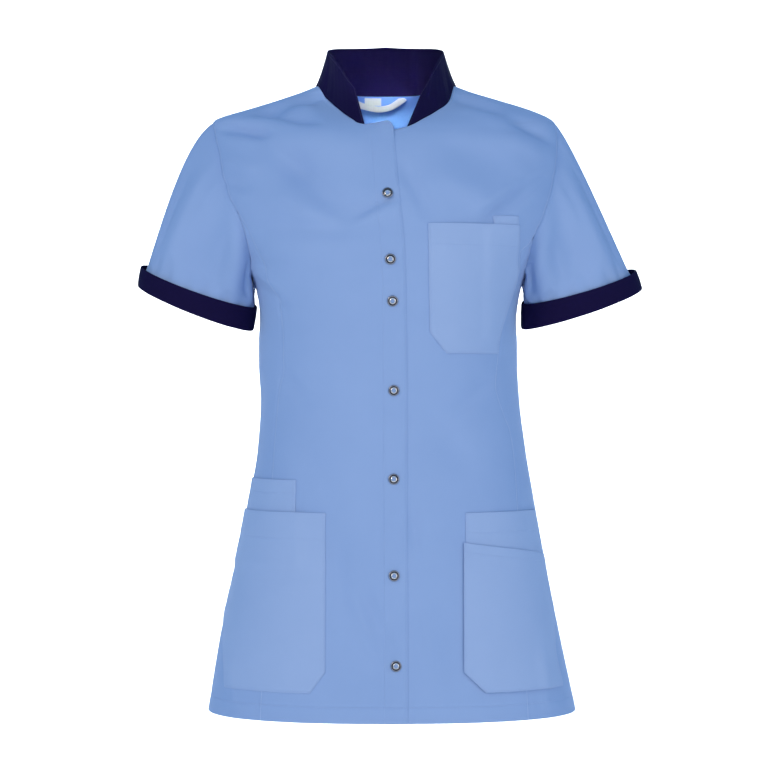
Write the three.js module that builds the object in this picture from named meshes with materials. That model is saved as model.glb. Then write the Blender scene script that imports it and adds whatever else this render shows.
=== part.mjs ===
import * as THREE from 'three';

// A short sleeved medical tunic in its worn shape, hollow and open at neck, cuffs and hem.
// Millimetres, +Z up, the front faces -Y. The origin is the centre of the neck base,
// at the height of the points where the shoulder seams meet the collar.

// Driving sizes
const WALL = 1.4;
const SEAM_GAP = 0.36;
const LAYER_GAP = 0.6;
const HEM_Z = -737;
const NECK_Z = 1;
const SHOULDER_Z = -42;
const UNDERARM_Z = -225;
const FRONT_LAP = 26;
const LAP_START = 58;
const SNAP_INSET = 13;
const SNAP_DIAMETER = 12;
const SNAP_HOLE = 5;
const SNAP_HEIGHT = 1.7;
const TAPE_WIDTH = 8;

// Level sections of the body: half widths to each side, depths to front and back,
// and the power of the rounded section (2 is an ellipse).
const RINGS = table(['z', 'left', 'right', 'front', 'back', 'power'], [
  [8, 70, 70, 22, 60, 2],
  [1, 84, 84, 28, 66, 2],
  [-5, 99, 100, 31, 70, 2],
  [-14, 125, 130, 38, 76, 2],
  [-24, 157, 163, 49, 82, 2],
  [-33, 188, 187, 63, 87, 2],
  [-38, 202, 196, 70, 89.5, 2],
  [-42, 206, 200.5, 76, 91.5, 2],
  [-52, 206.2, 204, 89, 95.5, 2],
  [-66, 206.4, 207, 101, 100, 2.05],
  [-90, 206.8, 208.3, 112, 106, 2.1],
  [-110, 207, 209, 119, 109.5, 2.15],
  [-130, 204, 208.5, 126, 111.5, 2.2],
  [-155, 193, 202.5, 132, 112.5, 2.25],
  [-176, 182, 192, 135, 111.5, 2.3],
  [-196, 171, 180, 137, 109.5, 2.3],
  [-219, 161, 167.5, 137, 106.5, 2.3],
  [-240, 154.5, 160, 135, 103.5, 2.3],
  [-262, 150.5, 156, 132, 101, 2.3],
  [-280, 149.8, 154.5, 129, 99.5, 2.3],
  [-297, 151, 155.5, 127, 98.5, 2.3],
  [-328, 151.1, 155.9, 123.5, 98, 2.3],
  [-371, 148.8, 158.3, 120.5, 100.5, 2.3],
  [-428, 152.3, 165.4, 121, 108, 2.3],
  [-485, 161.8, 174.9, 125, 117, 2.3],
  [-557, 176.1, 188, 131.5, 126.5, 2.3],
  [-642, 195.2, 204.7, 139, 135, 2.3],
  [-737, 211, 225, 146, 142, 2.3],
]);

// Seam lines: distance from the middle plane at each height.
const ARMHOLE = {
  left: table(['z', 'x'], [[-42, 206], [-64, 201], [-85, 195], [-110, 191], [-131, 184], [-155, 172],
    [-176, 165], [-196, 159.5], [-219, 156]]),
  right: table(['z', 'x'], [[-42, 200.5], [-67, 203], [-94, 200], [-126, 193.5], [-143, 188], [-162, 181],
    [-176, 174], [-196, 167.5], [-219, 162]]),
};
const PRINCESS = {
  left: table(['z', 'x'], [[-150, 174], [-160, 168.8], [-175, 160.4], [-203, 145], [-233, 135.5],
    [-263, 124], [-302, 120], [-329, 120], [-352, 124], [-380, 127], [-413, 130], [-460, 133], [-737, 146]]),
  right: table(['z', 'x'], [[-180, 172.5], [-190, 166], [-198, 156.5], [-235, 152], [-267, 142],
    [-296, 134], [-319, 131], [-353, 128.5], [-388, 138], [-406, 145], [-446, 151], [-491, 153.5],
    [-737, 165]]),
};
const BACK_SEAM = {
  left: table(['z', 'x'], [[-150, 174], [-160, 168.6], [-175, 158], [-190, 145], [-213, 127], [-240, 111],
    [-265, 100], [-300, 92], [-328, 91], [-362, 94], [-410, 101], [-470, 109], [-560, 119], [-737, 134]]),
  right: table(['z', 'x'], [[-150, 185.6], [-160, 180.3], [-175, 168], [-190, 153.5], [-213, 134], [-240, 117],
    [-265, 105], [-300, 97], [-328, 96], [-362, 99], [-410, 106], [-470, 115], [-560, 125], [-737, 141]]),
};
const NECKLINE = {
  left: table(['z', 'x'], [[1, -80.5], [-18, -68], [-34, -53], [-44, -39], [-49.5, -25], [-51.5, 2], [-60, 9]]),
  right: table(['z', 'x'], [[1, 80.5], [-21, 73], [-34, 58.5], [-45, 42], [-55, 24.6], [-60, 5], [-66, -15]]),
};
const FRONT_EDGE = table(['z', 'x'], [[-60, 9.5], [-73, 11], [-107, 14.4], [-155, 18.6], [-190, 21.4], [-246, 23],
  [-315, 24], [-427, 24.4], [-737, 25.4]]);

// Heights of the grid rows, from the hem up.
const ROWS = [-737, -720, -704, -680, -645, -610, -575, -534, -500, -463, -430, -396, -362, -328, -297, -265,
  -240, -225, -223.5, -220, -213, -203, -190, -175, -160, -145, -128, -110, -94, -78, -66, -60, -55, -49.5,
  -42, -34, -26, -18, -9, 1];

// Shares of the width at which the right front has its grid columns, outside the lap.
const FRONT_SPREAD = [0.2, 0.4, 0.6, 0.8, 1];

// Widest folds of the body cloth: a soft ridge (or trough, if the height is negative) along a line.
const FOLDS = rows(['x0', 'z0', 'x1', 'z1', 'width', 'height'], [
  [-150, -70, -60, -120, 17, 2.4],
  [-175, -118, -95, -165, 15, -2.2],
  [-150, -205, -95, -235, 16, 1.8],
  [70, -75, 150, -105, 17, -2.2],
  [60, -120, 120, -150, 15, 2],
  [-35, -640, 20, -700, 22, -1.6],
  [60, -400, 95, -450, 20, -1.8],
]);

// Stations of the collar: turn around the neck at its base, then turn, reach and height of its top edge.
const COLLAR_CENTRE = -5;
const COLLAR = {
  left: table(['base', 'turn', 'reach', 'top'], [[14, 27.5, 74.3, -9], [28, 39.9, 71.7, 6], [43, 55, 68, 22],
    [66, 75.3, 67, 36], [93, 97.3, 70.6, 45], [131, 131, 72, 52], [180, 180, 65, 56]]),
  right: table(['base', 'turn', 'reach', 'top'], [[14, 31.5, 76, -15], [28, 43, 72.5, 2], [43, 57, 68.5, 19],
    [66, 75.3, 67, 34], [93, 97.3, 69.6, 44], [131, 131, 72, 52], [180, 180, 65, 56]]),
};

const CHEST_OUTER = table(['z', 'x'], [[-159, 152.5], [-191, 153], [-203, 151], [-235, 149], [-267, 139.5],
  [-296, 131.5], [-319, 128.5]]);

// Each sleeve: outer and inner ends of the sleeve's own edge and of the cuff's two edges, in the
// front view, and how far the sleeve leaves the shoulder sideways and down before it hangs.
const SLEEVES = {
  left: {
    side: -1, end: [[283, -212], [158.6, -264]], top: [[291, -212], [154.8, -260.5]],
    bottom: [[295, -235], [161, -288]], leave: [96, 56], hang: 190, axis: [0.3, 0.95],
  },
  right: {
    side: 1, end: [[288, -219], [166.8, -259]], top: [[297, -217], [162.4, -256]],
    bottom: [[304, -239], [163.5, -286]], leave: [58, 60], hang: 163, axis: [0.42, 0.91],
  },
};
const CUFF_DEPTH = 41.8;
const SLEEVE_DEPTH = 38.9;
const CUFF_DIP = 9;
const CUFF_Y = -6;
const SLEEVE_STATIONS = [0, 0.08, 0.2, 0.34, 0.48, 0.62, 0.76, 0.88, 1];
const SLEEVE_FOLDS = rows(['turn', 'along', 'width', 'length', 'height'], [
  [48, 0.62, 13, 0.4, 2.6],
  [84, 0.5, 15, 0.45, -2.8],
  [122, 0.55, 14, 0.4, 2.4],
  [300, 0.6, 16, 0.42, 2.2],
  [262, 0.5, 15, 0.4, -2.4],
]);

// Ring snaps down the front, by height.
const SNAPS = [-133, -209, -258, -360, -460, -569, -671];

const COLOURS = {
  cloth: { color: 0x85a3d8, roughness: 0.86, metalness: 0 },
  trim: { color: 0x19143c, roughness: 0.82, metalness: 0 },
  steel: { color: 0xc9ccd2, roughness: 0.25, metalness: 1 },
  tape: { color: 0xe6ebf3, roughness: 0.8, metalness: 0 },
};

function rows(columns, data) {
  return data.map((line) => Object.fromEntries(columns.map((name, k) => [name, line[k]])));
}

function table(columns, data) {
  const sorted = data.slice().sort((a, b) => a[0] - b[0]);
  const keys = sorted.map((line) => line[0]);
  const out = {};
  columns.slice(1).forEach((name, k) => {
    out[name] = smoothCurve(keys, sorted.map((line) => line[k + 1]));
  });
  return out;
}

// Smooth curve through the points, with no overshoot between them.
function smoothCurve(xs, ys) {
  const last = xs.length - 1;
  const step = [];
  const rise = [];
  for (let i = 0; i < last; i += 1) {
    step.push(xs[i + 1] - xs[i]);
    rise.push((ys[i + 1] - ys[i]) / step[i]);
  }
  const slope = [rise[0]];
  for (let i = 1; i < last; i += 1) {
    const a = 2 * step[i] + step[i - 1];
    const b = step[i] + 2 * step[i - 1];
    slope.push(rise[i - 1] * rise[i] <= 0 ? 0 : (a + b) / (a / rise[i - 1] + b / rise[i]));
  }
  slope.push(rise[last - 1]);
  return (x) => {
    if (x <= xs[0]) return ys[0];
    if (x >= xs[last]) return ys[last];
    let i = 0;
    while (x > xs[i + 1]) i += 1;
    const t = (x - xs[i]) / step[i];
    const h = step[i];
    return ys[i] * (1 + 2 * t) * (1 - t) ** 2 + slope[i] * h * t * (1 - t) ** 2
      + ys[i + 1] * t * t * (3 - 2 * t) + slope[i + 1] * h * t * t * (t - 1);
  };
}

function smoothStep(x, a, b) {
  const t = Math.min(1, Math.max(0, (x - a) / (b - a)));
  return t * t * (3 - 2 * t);
}

const sideName = (x) => (x < 0 ? 'left' : 'right');

// Point of the plain body surface; the turn is 0 at the front, positive to +X.
function ringPoint(turn, z) {
  const s = Math.sin(turn);
  const c = Math.cos(turn);
  const n = RINGS.power(z);
  const wide = s < 0 ? RINGS.left(z) : RINGS.right(z);
  const deep = c > 0 ? RINGS.front(z) : RINGS.back(z);
  const reach = (Math.abs(c / deep) ** n + Math.abs(s / wide) ** n) ** (-1 / n);
  return new THREE.Vector3(reach * s, -reach * c, z);
}

function ringNormal(turn, z) {
  const across = ringPoint(turn + 0.002, z).sub(ringPoint(turn - 0.002, z));
  const up = ringPoint(turn, z + 0.6).sub(ringPoint(turn, z - 0.6));
  return across.cross(up).normalize();
}

function foldHeight(x, z) {
  let sum = 0;
  for (const f of FOLDS) {
    const dx = f.x1 - f.x0;
    const dz = f.z1 - f.z0;
    const t = Math.min(1, Math.max(0, ((x - f.x0) * dx + (z - f.z0) * dz) / (dx * dx + dz * dz)));
    const far = Math.hypot(x - f.x0 - t * dx, z - f.z0 - t * dz);
    sum += f.height * Math.exp(-((far / f.width) ** 2));
  }
  return sum;
}

// Point of the cloth, moved out by the given distance.
function bodyPoint(turn, z, out = 0) {
  const p = ringPoint(turn, z);
  const fold = Math.cos(turn) > 0 ? foldHeight(p.x, z) : 0;
  return p.addScaledVector(ringNormal(turn, z), out + fold);
}

// Turn of the front (or back) surface at a distance from the middle plane.
function turnAt(x, z, back = false) {
  const n = RINGS.power(z);
  const wide = x < 0 ? RINGS.left(z) : RINGS.right(z);
  const deep = back ? RINGS.back(z) : RINGS.front(z);
  const part = Math.min(1, Math.abs(x) / wide);
  const y = deep * (1 - part ** n) ** (1 / n);
  return Math.atan2(x, back ? -y : y);
}

// Outer limit of the front panels: armhole, side seam or shoulder seam.
function outerTurn(side, z, back = false) {
  const sign = side === 'left' ? -1 : 1;
  const square = sign * Math.PI / 2;
  if (z <= UNDERARM_Z || z >= SHOULDER_Z) return square;
  const low = -219;
  const at = (h) => turnAt(sign * ARMHOLE[side].x(h), h, back);
  if (z >= low) return at(z);
  return square + (at(low) - square) * Math.sqrt((z - UNDERARM_Z) / (low - UNDERARM_Z));
}

function mesh(name, geometry, look) {
  const made = new THREE.Mesh(geometry, new THREE.MeshStandardMaterial(look));
  made.name = name;
  return made;
}

// Closed wall over a grid of outer and inner points; a ring closes on itself around.
function wall(name, grid, look, ring = false) {
  const nv = grid.length;
  const nu = grid[0].length;
  const position = [];
  for (const key of ['outer', 'inner']) {
    for (const line of grid) {
      for (const node of line) position.push(node[key].x, node[key].y, node[key].z);
    }
  }
  const id = (layer, v, u) => layer * nv * nu + v * nu + (u % nu);
  const faces = [];
  const quad = (a, b, c, d) => faces.push(a, b, c, a, c, d);
  const across = ring ? nu : nu - 1;
  for (let v = 0; v < nv - 1; v += 1) {
    for (let u = 0; u < across; u += 1) {
      quad(id(0, v, u), id(0, v, u + 1), id(0, v + 1, u + 1), id(0, v + 1, u));
      quad(id(1, v, u), id(1, v + 1, u), id(1, v + 1, u + 1), id(1, v, u + 1));
    }
  }
  for (let u = 0; u < across; u += 1) {
    quad(id(0, 0, u + 1), id(0, 0, u), id(1, 0, u), id(1, 0, u + 1));
    quad(id(0, nv - 1, u), id(0, nv - 1, u + 1), id(1, nv - 1, u + 1), id(1, nv - 1, u));
  }
  if (!ring) {
    for (let v = 0; v < nv - 1; v += 1) {
      quad(id(0, v, 0), id(0, v + 1, 0), id(1, v + 1, 0), id(1, v, 0));
      quad(id(0, v + 1, nu - 1), id(0, v, nu - 1), id(1, v, nu - 1), id(1, v + 1, nu - 1));
    }
  }
  let volume = 0;
  const at = (k) => new THREE.Vector3(position[3 * k], position[3 * k + 1], position[3 * k + 2]);
  for (let k = 0; k < faces.length; k += 3) {
    volume += at(faces[k]).dot(at(faces[k + 1]).cross(at(faces[k + 2])));
  }
  if (volume < 0) faces.reverse();
  const geometry = new THREE.BufferGeometry();
  geometry.setAttribute('position', new THREE.Float32BufferAttribute(position, 3));
  geometry.setIndex(faces);
  geometry.computeVertexNormals();
  return mesh(name, geometry, look);
}

// Wall laid on the body surface; spot(v, u) gives the turn, the height and the distance out.
function panel(name, nv, nu, look, spot, thick = WALL) {
  const grid = [];
  for (let v = 0; v < nv; v += 1) {
    const line = [];
    for (let u = 0; u < nu; u += 1) {
      const [turn, z, out] = spot(v, u);
      line.push({ outer: bodyPoint(turn, z, out), inner: bodyPoint(turn, z, out - thick) });
    }
    grid.push(line);
  }
  return wall(name, grid, look);
}

const mix = (a, b, t) => a + (b - a) * t;

// Half a seam gap, as a turn at this place.
function seamTurn(turn, z) {
  const p = ringPoint(turn, z);
  return SEAM_GAP / 2 / Math.hypot(p.x, p.y);
}

// Turn of the seam between the middle and side panels of the front, or of the armhole above it.
function panelTurn(side, z) {
  const sign = side === 'left' ? -1 : 1;
  const start = side === 'left' ? -150 : -180;
  if (z >= start) return outerTurn(side, z);
  return turnAt(sign * PRINCESS[side].x(z), z);
}

// Wearer's right front: its free edge laps over the left front.
function frontRight() {
  const look = COLOURS.cloth;
  const lift = WALL + LAYER_GAP;
  const spread = FRONT_SPREAD;
  return panel('front_right', ROWS.length, 4 + spread.length, look, (v, u) => {
    const z = ROWS[v];
    const outer = panelTurn('left', z);
    const limit = outer + seamTurn(outer, z);
    const edge = z >= -60 ? NECKLINE.left.x(z) : FRONT_EDGE.x(z);
    const lap = FRONT_EDGE.x(Math.min(z, -60));
    const lines = [edge, Math.min(edge, lap - 13), Math.min(edge, lap - FRONT_LAP - 3), Math.min(edge, lap - LAP_START)];
    if (z >= -60) {
      const inner = turnAt(edge, z);
      const turn = mix(inner, limit, u / (3 + spread.length));
      const p = ringPoint(turn, z);
      return [turn, z, lift * smoothStep(p.x, lap - LAP_START, lap - FRONT_LAP - 3)];
    }
    const x = lines[Math.min(u, 3)];
    const turn = u < 4 ? turnAt(x, z) : mix(turnAt(x, z), limit, spread[u - 4]);
    return [turn, z, u < 3 ? lift : 0];
  });
}

function frontLeft() {
  const cols = 8;
  return panel('front_left', ROWS.length, cols, COLOURS.cloth, (v, u) => {
    const z = ROWS[v];
    const outer = panelTurn('right', z);
    const edge = z >= -60 ? NECKLINE.right.x(z) : FRONT_EDGE.x(z) - FRONT_LAP;
    const t = u / (cols - 1);
    return [mix(turnAt(edge, z), outer - seamTurn(outer, z), t), z, 0];
  });
}

// Side panels of the front, from the princess seam to the side seam and armhole.
function sideFront(name, side) {
  const sign = side === 'left' ? -1 : 1;
  const start = side === 'left' ? -155 : -185;
  const heights = ROWS.filter((z) => z < start);
  const cols = 6;
  return panel(name, heights.length, cols, COLOURS.cloth, (v, u) => {
    const z = heights[v];
    const near = panelTurn(side, z);
    const far = outerTurn(side, z);
    const shift = sign * seamTurn(far, z);
    const inset = z > UNDERARM_Z ? 0 : shift;
    return [mix(near + shift, far - inset, u / (cols - 1)), z, 0];
  });
}

// Turn of the seam between the middle and side panels of the back, or of the armhole above it.
function backTurn(side, z) {
  const start = -150;
  if (z >= start) return outerTurn(side, z, true);
  return turnAt((side === 'left' ? -1 : 1) * BACK_SEAM[side].x(z), z, true);
}

function backPanel() {
  const cols = 17;
  return panel('back', ROWS.length, cols, COLOURS.cloth, (v, u) => {
    const z = ROWS[v];
    const limit = (side) => {
      const raw = backTurn(side, z);
      const open = z > -150 && z < SHOULDER_Z;
      return open ? raw : raw + (side === 'left' ? -1 : 1) * seamTurn(raw, z);
    };
    const t = u / (cols - 1);
    return [mix(limit('right'), limit('left') + 2 * Math.PI, t), z, 0];
  });
}

// Side panels of the back, from the side seam and armhole to the middle panel.
function sideBack(name, side) {
  const sign = side === 'left' ? -1 : 1;
  const heights = ROWS.filter((z) => z < -155);
  const cols = 5;
  return panel(name, heights.length, cols, COLOURS.cloth, (v, u) => {
    const z = heights[v];
    const near = backTurn(side, z);
    const far = outerTurn(side, z, true);
    const seam = sign * seamTurn(near, z);
    const inset = z > UNDERARM_Z ? 0 : sign * seamTurn(far, z);
    return [mix(near - seam, far + inset, u / (cols - 1)), z, 0];
  });
}

// Loop of the armhole, shoulder point first, then down the front and up the back.
function armhole(side) {
  const heights = ROWS.filter((z) => z >= UNDERARM_Z && z <= SHOULDER_Z).reverse();
  const front = heights.map((z) => [outerTurn(side, z), z]);
  const back = heights.slice(1, -1).reverse().map((z) => [outerTurn(side, z, true), z]);
  const loop = front.concat(back).map(([turn, z]) => ({
    place: bodyPoint(turn, z),
    normal: ringNormal(turn, z),
  }));
  const count = loop.length;
  const length = [0];
  for (let k = 1; k < count; k += 1) length.push(length[k - 1] + loop[k].place.distanceTo(loop[k - 1].place));
  const bottom = heights.length - 1;
  const total = length[count - 1] + loop[0].place.distanceTo(loop[count - 1].place);
  const middle = loop.reduce((sum, node) => sum.add(node.place), new THREE.Vector3()).multiplyScalar(1 / count);
  loop.forEach((node, k) => {
    const front = k <= bottom;
    const part = front ? length[k] / length[bottom] : 1 + (length[k] - length[bottom]) / (total - length[bottom]);
    node.turn = Math.PI * part;
    const ahead = loop[(k + 1) % count].place;
    const behind = loop[(k + count - 1) % count].place;
    const along = ahead.clone().sub(behind).normalize();
    node.away = along.clone().cross(node.normal).normalize();
    if (node.away.dot(middle.clone().sub(node.place)) < 0) node.away.negate();
  });
  return loop;
}

// Frame of a cuff edge: middle, half width along the opening and the dipped front axis.
function cuffEdge(cut, which, depth) {
  const [[xo, zo], [xi, zi]] = cut[which];
  const outer = new THREE.Vector3(cut.side * xo, CUFF_Y, zo);
  const inner = new THREE.Vector3(cut.side * xi, CUFF_Y, zi);
  return {
    middle: outer.clone().add(inner).multiplyScalar(0.5),
    wide: outer.clone().sub(inner).multiplyScalar(0.5),
    deep: new THREE.Vector3(0, -depth, -CUFF_DIP),
  };
}

function cuffPoint(edge, turn, out = 0) {
  const w = edge.wide.clone().setLength(edge.wide.length() + out);
  const d = edge.deep.clone().setLength(edge.deep.length() + out);
  return edge.middle.clone().addScaledVector(w, Math.cos(turn)).addScaledVector(d, Math.sin(turn));
}

// The sleeve's plain surface runs from the armhole to the cuff.
function sleevePoint(cut, edge, node, t) {
  const s = Math.sin(node.turn);
  const c = Math.cos(node.turn);
  const top = c > 0 ? c * c : 0;
  const low = c < 0 ? c * c : 0;
  const flank = s * s;
  const start = node.start.clone();
  const end = cuffPoint(edge, node.turn);
  const leave = new THREE.Vector3(cut.side * (cut.leave[0] * top + 62 * flank + 3 * low),
    -14 * Math.sign(s) * flank, -(cut.leave[1] * top + 46 * flank + 30 * low));
  const axis = new THREE.Vector3(cut.side * cut.axis[0], 0, -cut.axis[1]);
  const arrive = axis.multiplyScalar(cut.hang * top + 125 * flank + 38 * low);
  const a = (1 + 2 * t) * (1 - t) ** 2;
  const b = t * (1 - t) ** 2;
  const e = t * t * (3 - 2 * t);
  const f = t * t * (t - 1);
  return start.multiplyScalar(a).addScaledVector(leave, b).addScaledVector(end, e).addScaledVector(arrive, f);
}

function sleeveFold(turn, t) {
  const degrees = THREE.MathUtils.radToDeg(turn);
  let sum = 0;
  for (const f of SLEEVE_FOLDS) {
    sum += f.height * Math.exp(-(((degrees - f.turn) / f.width) ** 2) - ((t - f.along) / f.length) ** 4);
  }
  return sum * smoothStep(1 - t, 0.02, 0.2);
}

function sleeve(name, side) {
  const cut = SLEEVES[side];
  const edge = cuffEdge(cut, 'end', SLEEVE_DEPTH);
  const loop = armhole(side);
  const count = loop.length;
  const facing = (blank, v, u) => {
    const across = blank[v][(u + 1) % count].clone().sub(blank[v][(u + count - 1) % count]);
    const ahead = blank[Math.min(v + 1, blank.length - 1)][u].clone().sub(blank[Math.max(v - 1, 0)][u]);
    const normal = across.cross(ahead).normalize();
    const centre = blank[v].reduce((sum, p) => sum.add(p), new THREE.Vector3()).multiplyScalar(1 / count);
    return normal.dot(blank[v][u].clone().sub(centre)) < 0 ? normal.negate() : normal;
  };
  const surface = () => SLEEVE_STATIONS.map((t) => loop.map((node) => sleevePoint(cut, edge, node, t)));
  loop.forEach((node) => { node.start = node.place; });
  const seam = surface();
  loop.forEach((node, u) => {
    const turn = node.normal.clone().sub(facing(seam, 0, u)).multiplyScalar(1.5);
    node.start = node.place.clone().addScaledVector(turn.add(node.away).normalize(), SEAM_GAP);
  });
  const blank = surface();
  const grid = SLEEVE_STATIONS.map((t, v) => loop.map((node, u) => {
    const normal = facing(blank, v, u);
    const outer = blank[v][u].clone().addScaledVector(normal, v === 0 ? 0 : sleeveFold(node.turn, t));
    return { outer, inner: outer.clone().addScaledVector(normal, -WALL) };
  }));
  return wall(name, grid, COLOURS.cloth, true);
}

function cuff(name, side) {
  const cut = SLEEVES[side];
  const upper = cuffEdge(cut, 'top', CUFF_DEPTH);
  const lower = cuffEdge(cut, 'bottom', CUFF_DEPTH);
  const turns = armhole(side).map((node) => node.turn);
  const grid = [0, 0.5, 1].map((t) => turns.map((turn) => {
    const place = (out) => cuffPoint(upper, turn, out).lerp(cuffPoint(lower, turn, out), t);
    return { outer: place(0), inner: place(-WALL) };
  }));
  return wall(name, grid, COLOURS.trim, true);
}

// Stand collar on the neck edge of fronts and back.
function collar() {
  const base = [];
  const neck = ROWS.filter((z) => z >= -49.5);
  for (const z of neck) base.push([turnAt(NECKLINE.left.x(z), z), z]);
  const cols = 16;
  const seam = seamTurn(Math.PI / 2, NECK_Z);
  for (let u = 1; u < cols; u += 1) base.push([mix(-Math.PI / 2 - seam, -1.5 * Math.PI + seam, u / cols), NECK_Z]);
  for (const z of ROWS.filter((h) => h >= -55).reverse()) base.push([turnAt(NECKLINE.right.x(z), z), z]);
  const places = base.map(([turn, z]) => bodyPoint(turn, z));
  const tops = places.map((p, k) => {
    const side = k < places.length / 2 ? 'left' : 'right';
    const turn = THREE.MathUtils.radToDeg(Math.atan2(Math.abs(p.x), COLLAR_CENTRE - p.y));
    const at = COLLAR[side];
    const a = THREE.MathUtils.degToRad(at.turn(turn));
    const sign = side === 'left' ? -1 : 1;
    return new THREE.Vector3(sign * at.reach(turn) * Math.sin(a), COLLAR_CENTRE - at.reach(turn) * Math.cos(a),
      at.top(turn));
  });
  const stations = [0, 0.3, 0.65, 1];
  const grid = stations.map((t) => places.map((p, k) => {
    const behind = places[Math.max(0, k - 1)];
    const ahead = places[Math.min(places.length - 1, k + 1)];
    const along = ahead.clone().sub(behind).normalize();
    const rise = tops[k].clone().sub(p).normalize();
    const normal = rise.clone().cross(along).normalize();
    const foot = p.clone().addScaledVector(rise, SEAM_GAP * 1.6);
    const outer = foot.lerp(tops[k], t).addScaledVector(normal, -0.8 * Math.sin(Math.PI * t));
    return { outer, inner: outer.clone().addScaledVector(normal, -WALL) };
  }));
  return wall('collar', grid, COLOURS.trim);
}

// Turns of the panels' own grid columns, from the middle of the front out to the side seam.
function gridTurns(side, z) {
  const outer = panelTurn(side, z);
  const seam = seamTurn(outer, z);
  const edge = FRONT_EDGE.x(z);
  const middle = side === 'left'
    ? FRONT_SPREAD.map((t) => mix(turnAt(edge - LAP_START, z), outer + seam, t))
    : [1, 2, 3, 4, 5, 6, 7].map((k) => mix(turnAt(edge - FRONT_LAP, z), outer - seam, k / 7));
  const far = outerTurn(side, z);
  return middle.concat([1, 2, 3, 4, 5].map((k) => mix(outer, far, k / 5 - (k === 5 ? 0.012 : 0))));
}

// Patch pocket built on the panels' columns, from its inner edge to its outer edge.
function pocket(name, side, heights, columns, inner, outer, out) {
  const first = (z) => Math.abs(turnAt(inner(z), z));
  return panel(name, heights.length, columns.length + 1 + (outer ? 1 : 0), COLOURS.cloth, (v, u) => {
    const z = heights[v];
    const sign = side === 'left' ? -1 : 1;
    const grid = gridTurns(side, z);
    let turn = first(z);
    if (u > 0 && u <= columns.length) turn = Math.max(Math.abs(grid[columns[u - 1]]), first(z) + 0.015 * u);
    if (u > columns.length) turn = Math.abs(turnAt(outer(z), z));
    return [sign * turn, z, out(u, z) + WALL];
  });
}

const cut = (z, from, to) => Math.min(1, Math.max(0, (z - from) / (to - from)));

function hipPocketRight() {
  const small = WALL + LAYER_GAP + 0.4;
  const out = (u, z) => LAYER_GAP + (u >= 2 && z > -561 ? small : 0);
  return pocket('hip_pocket_right', 'left', [-704, -680, -645, -610, -575, -560, -534, -500],
    [1, 2, 3, 4, 5, 6, 7, 8, 9], (z) => -mix(69.5, 87, cut(z, -680, -704)), null, out);
}

function smallPocketRight() {
  return pocket('small_pocket_right', 'left', [-555, -534, -500, -463], [3, 4, 5, 6, 7, 8, 9],
    () => -104, null, () => LAYER_GAP);
}

function hipPocketLeft() {
  return pocket('hip_pocket_left', 'right', [-704, -680, -645, -610, -575, -534, -500], [4, 5, 6, 7, 8, 9],
    (z) => mix(91, 116, cut(z, -680, -704)), null, () => LAYER_GAP);
}

function hipPocketLeftFront() {
  const heights = [-704, -680, -645, -610, -575, -543];
  const side = 'right';
  return panel('hip_pocket_left_front', heights.length, 7, COLOURS.cloth, (v, u) => {
    const z = v === heights.length - 1 ? mix(-534, -552, u / 6) : heights[v];
    const first = turnAt(mix(88.5, 113.5, cut(z, -680, -704)), z);
    const turn = u === 0 ? first : Math.max(gridTurns(side, z)[3 + u], first + 0.015 * u);
    return [turn, z, 2 * LAYER_GAP + 2 * WALL];
  });
}

function chestPocket() {
  const heights = [-317, -297, -265, -240, -225, -203, -190, -175, -169];
  const inner = (z) => mix(mix(48, 50, cut(z, -169, -293)), 69, cut(z, -293, -317));
  const over = (u, z) => (u >= 2 && z > -300 ? WALL + LAYER_GAP + 0.9 : 0);
  return pocket('chest_pocket', 'right', heights, [2, 3, 4, 5], inner, (z) => CHEST_OUTER.x(z),
    (u, z) => LAYER_GAP + over(u, z));
}

function penPocket() {
  return pocket('pen_pocket', 'right', [-285, -265, -240, -225, -203, -190, -175, -159], [5], () => 124,
    (z) => CHEST_OUTER.x(z), () => LAYER_GAP);
}

// Ring snap: a low turned ring, open in the middle, its axis along the cloth's normal.
function snap(name, z) {
  const outer = SNAP_DIAMETER / 2;
  const hole = SNAP_HOLE / 2;
  const profile = [[hole, 0], [outer, 0], [outer, SNAP_HEIGHT * 0.45], [outer - 1.3, SNAP_HEIGHT],
    [hole + 1, SNAP_HEIGHT], [hole, SNAP_HEIGHT * 0.5], [hole, 0]];
  const ring = new THREE.LatheGeometry(profile.map(([x, y]) => new THREE.Vector2(x, y)), 14);
  const made = mesh(name, ring, COLOURS.steel);
  const turn = turnAt(FRONT_EDGE.x(z) - SNAP_INSET, z);
  const normal = ringNormal(turn, z);
  made.position.copy(bodyPoint(turn, z, WALL + LAYER_GAP + 0.45));
  made.quaternion.setFromUnitVectors(new THREE.Vector3(0, 1, 0), normal);
  return made;
}

// Hanger tape inside the back neck, sewn at both ends and sagging between.
const LOOP = table(['x', 'z', 'off'], [[-46, -5, 0.8], [-38, -8.5, 1.4], [-28, -12, 2.3], [-8, -15.5, 2.3],
  [4, -13, 1.7], [12, -8.5, 1], [17, -5, 0.8]]);

function hangerLoop() {
  const stations = [-46, -41, -35, -28, -20, -12, -4, 3, 8, 13, 17];
  return panel('hanger_loop', 2, stations.length, COLOURS.tape, (v, u) => {
    const x = stations[u];
    const slope = (LOOP.z(x + 1) - LOOP.z(x - 1)) / 2;
    const side = (v === 0 ? -1 : 1) * TAPE_WIDTH / 2;
    const scale = 1 / Math.hypot(1, slope);
    const px = x - side * slope * scale;
    const pz = Math.min(-0.5, LOOP.z(x) + side * scale);
    return [turnAt(px, pz, true), pz, -WALL - LOOP.off(x)];
  }, 1);
}

function neckLabel() {
  return panel('neck_label', 2, 4, COLOURS.tape, (v, u) => {
    const x = mix(-26, -6, u / 3);
    const z = v === 0 ? -12 : -1;
    return [turnAt(x, z, true), z, -WALL - 0.7];
  }, 1);
}

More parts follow.
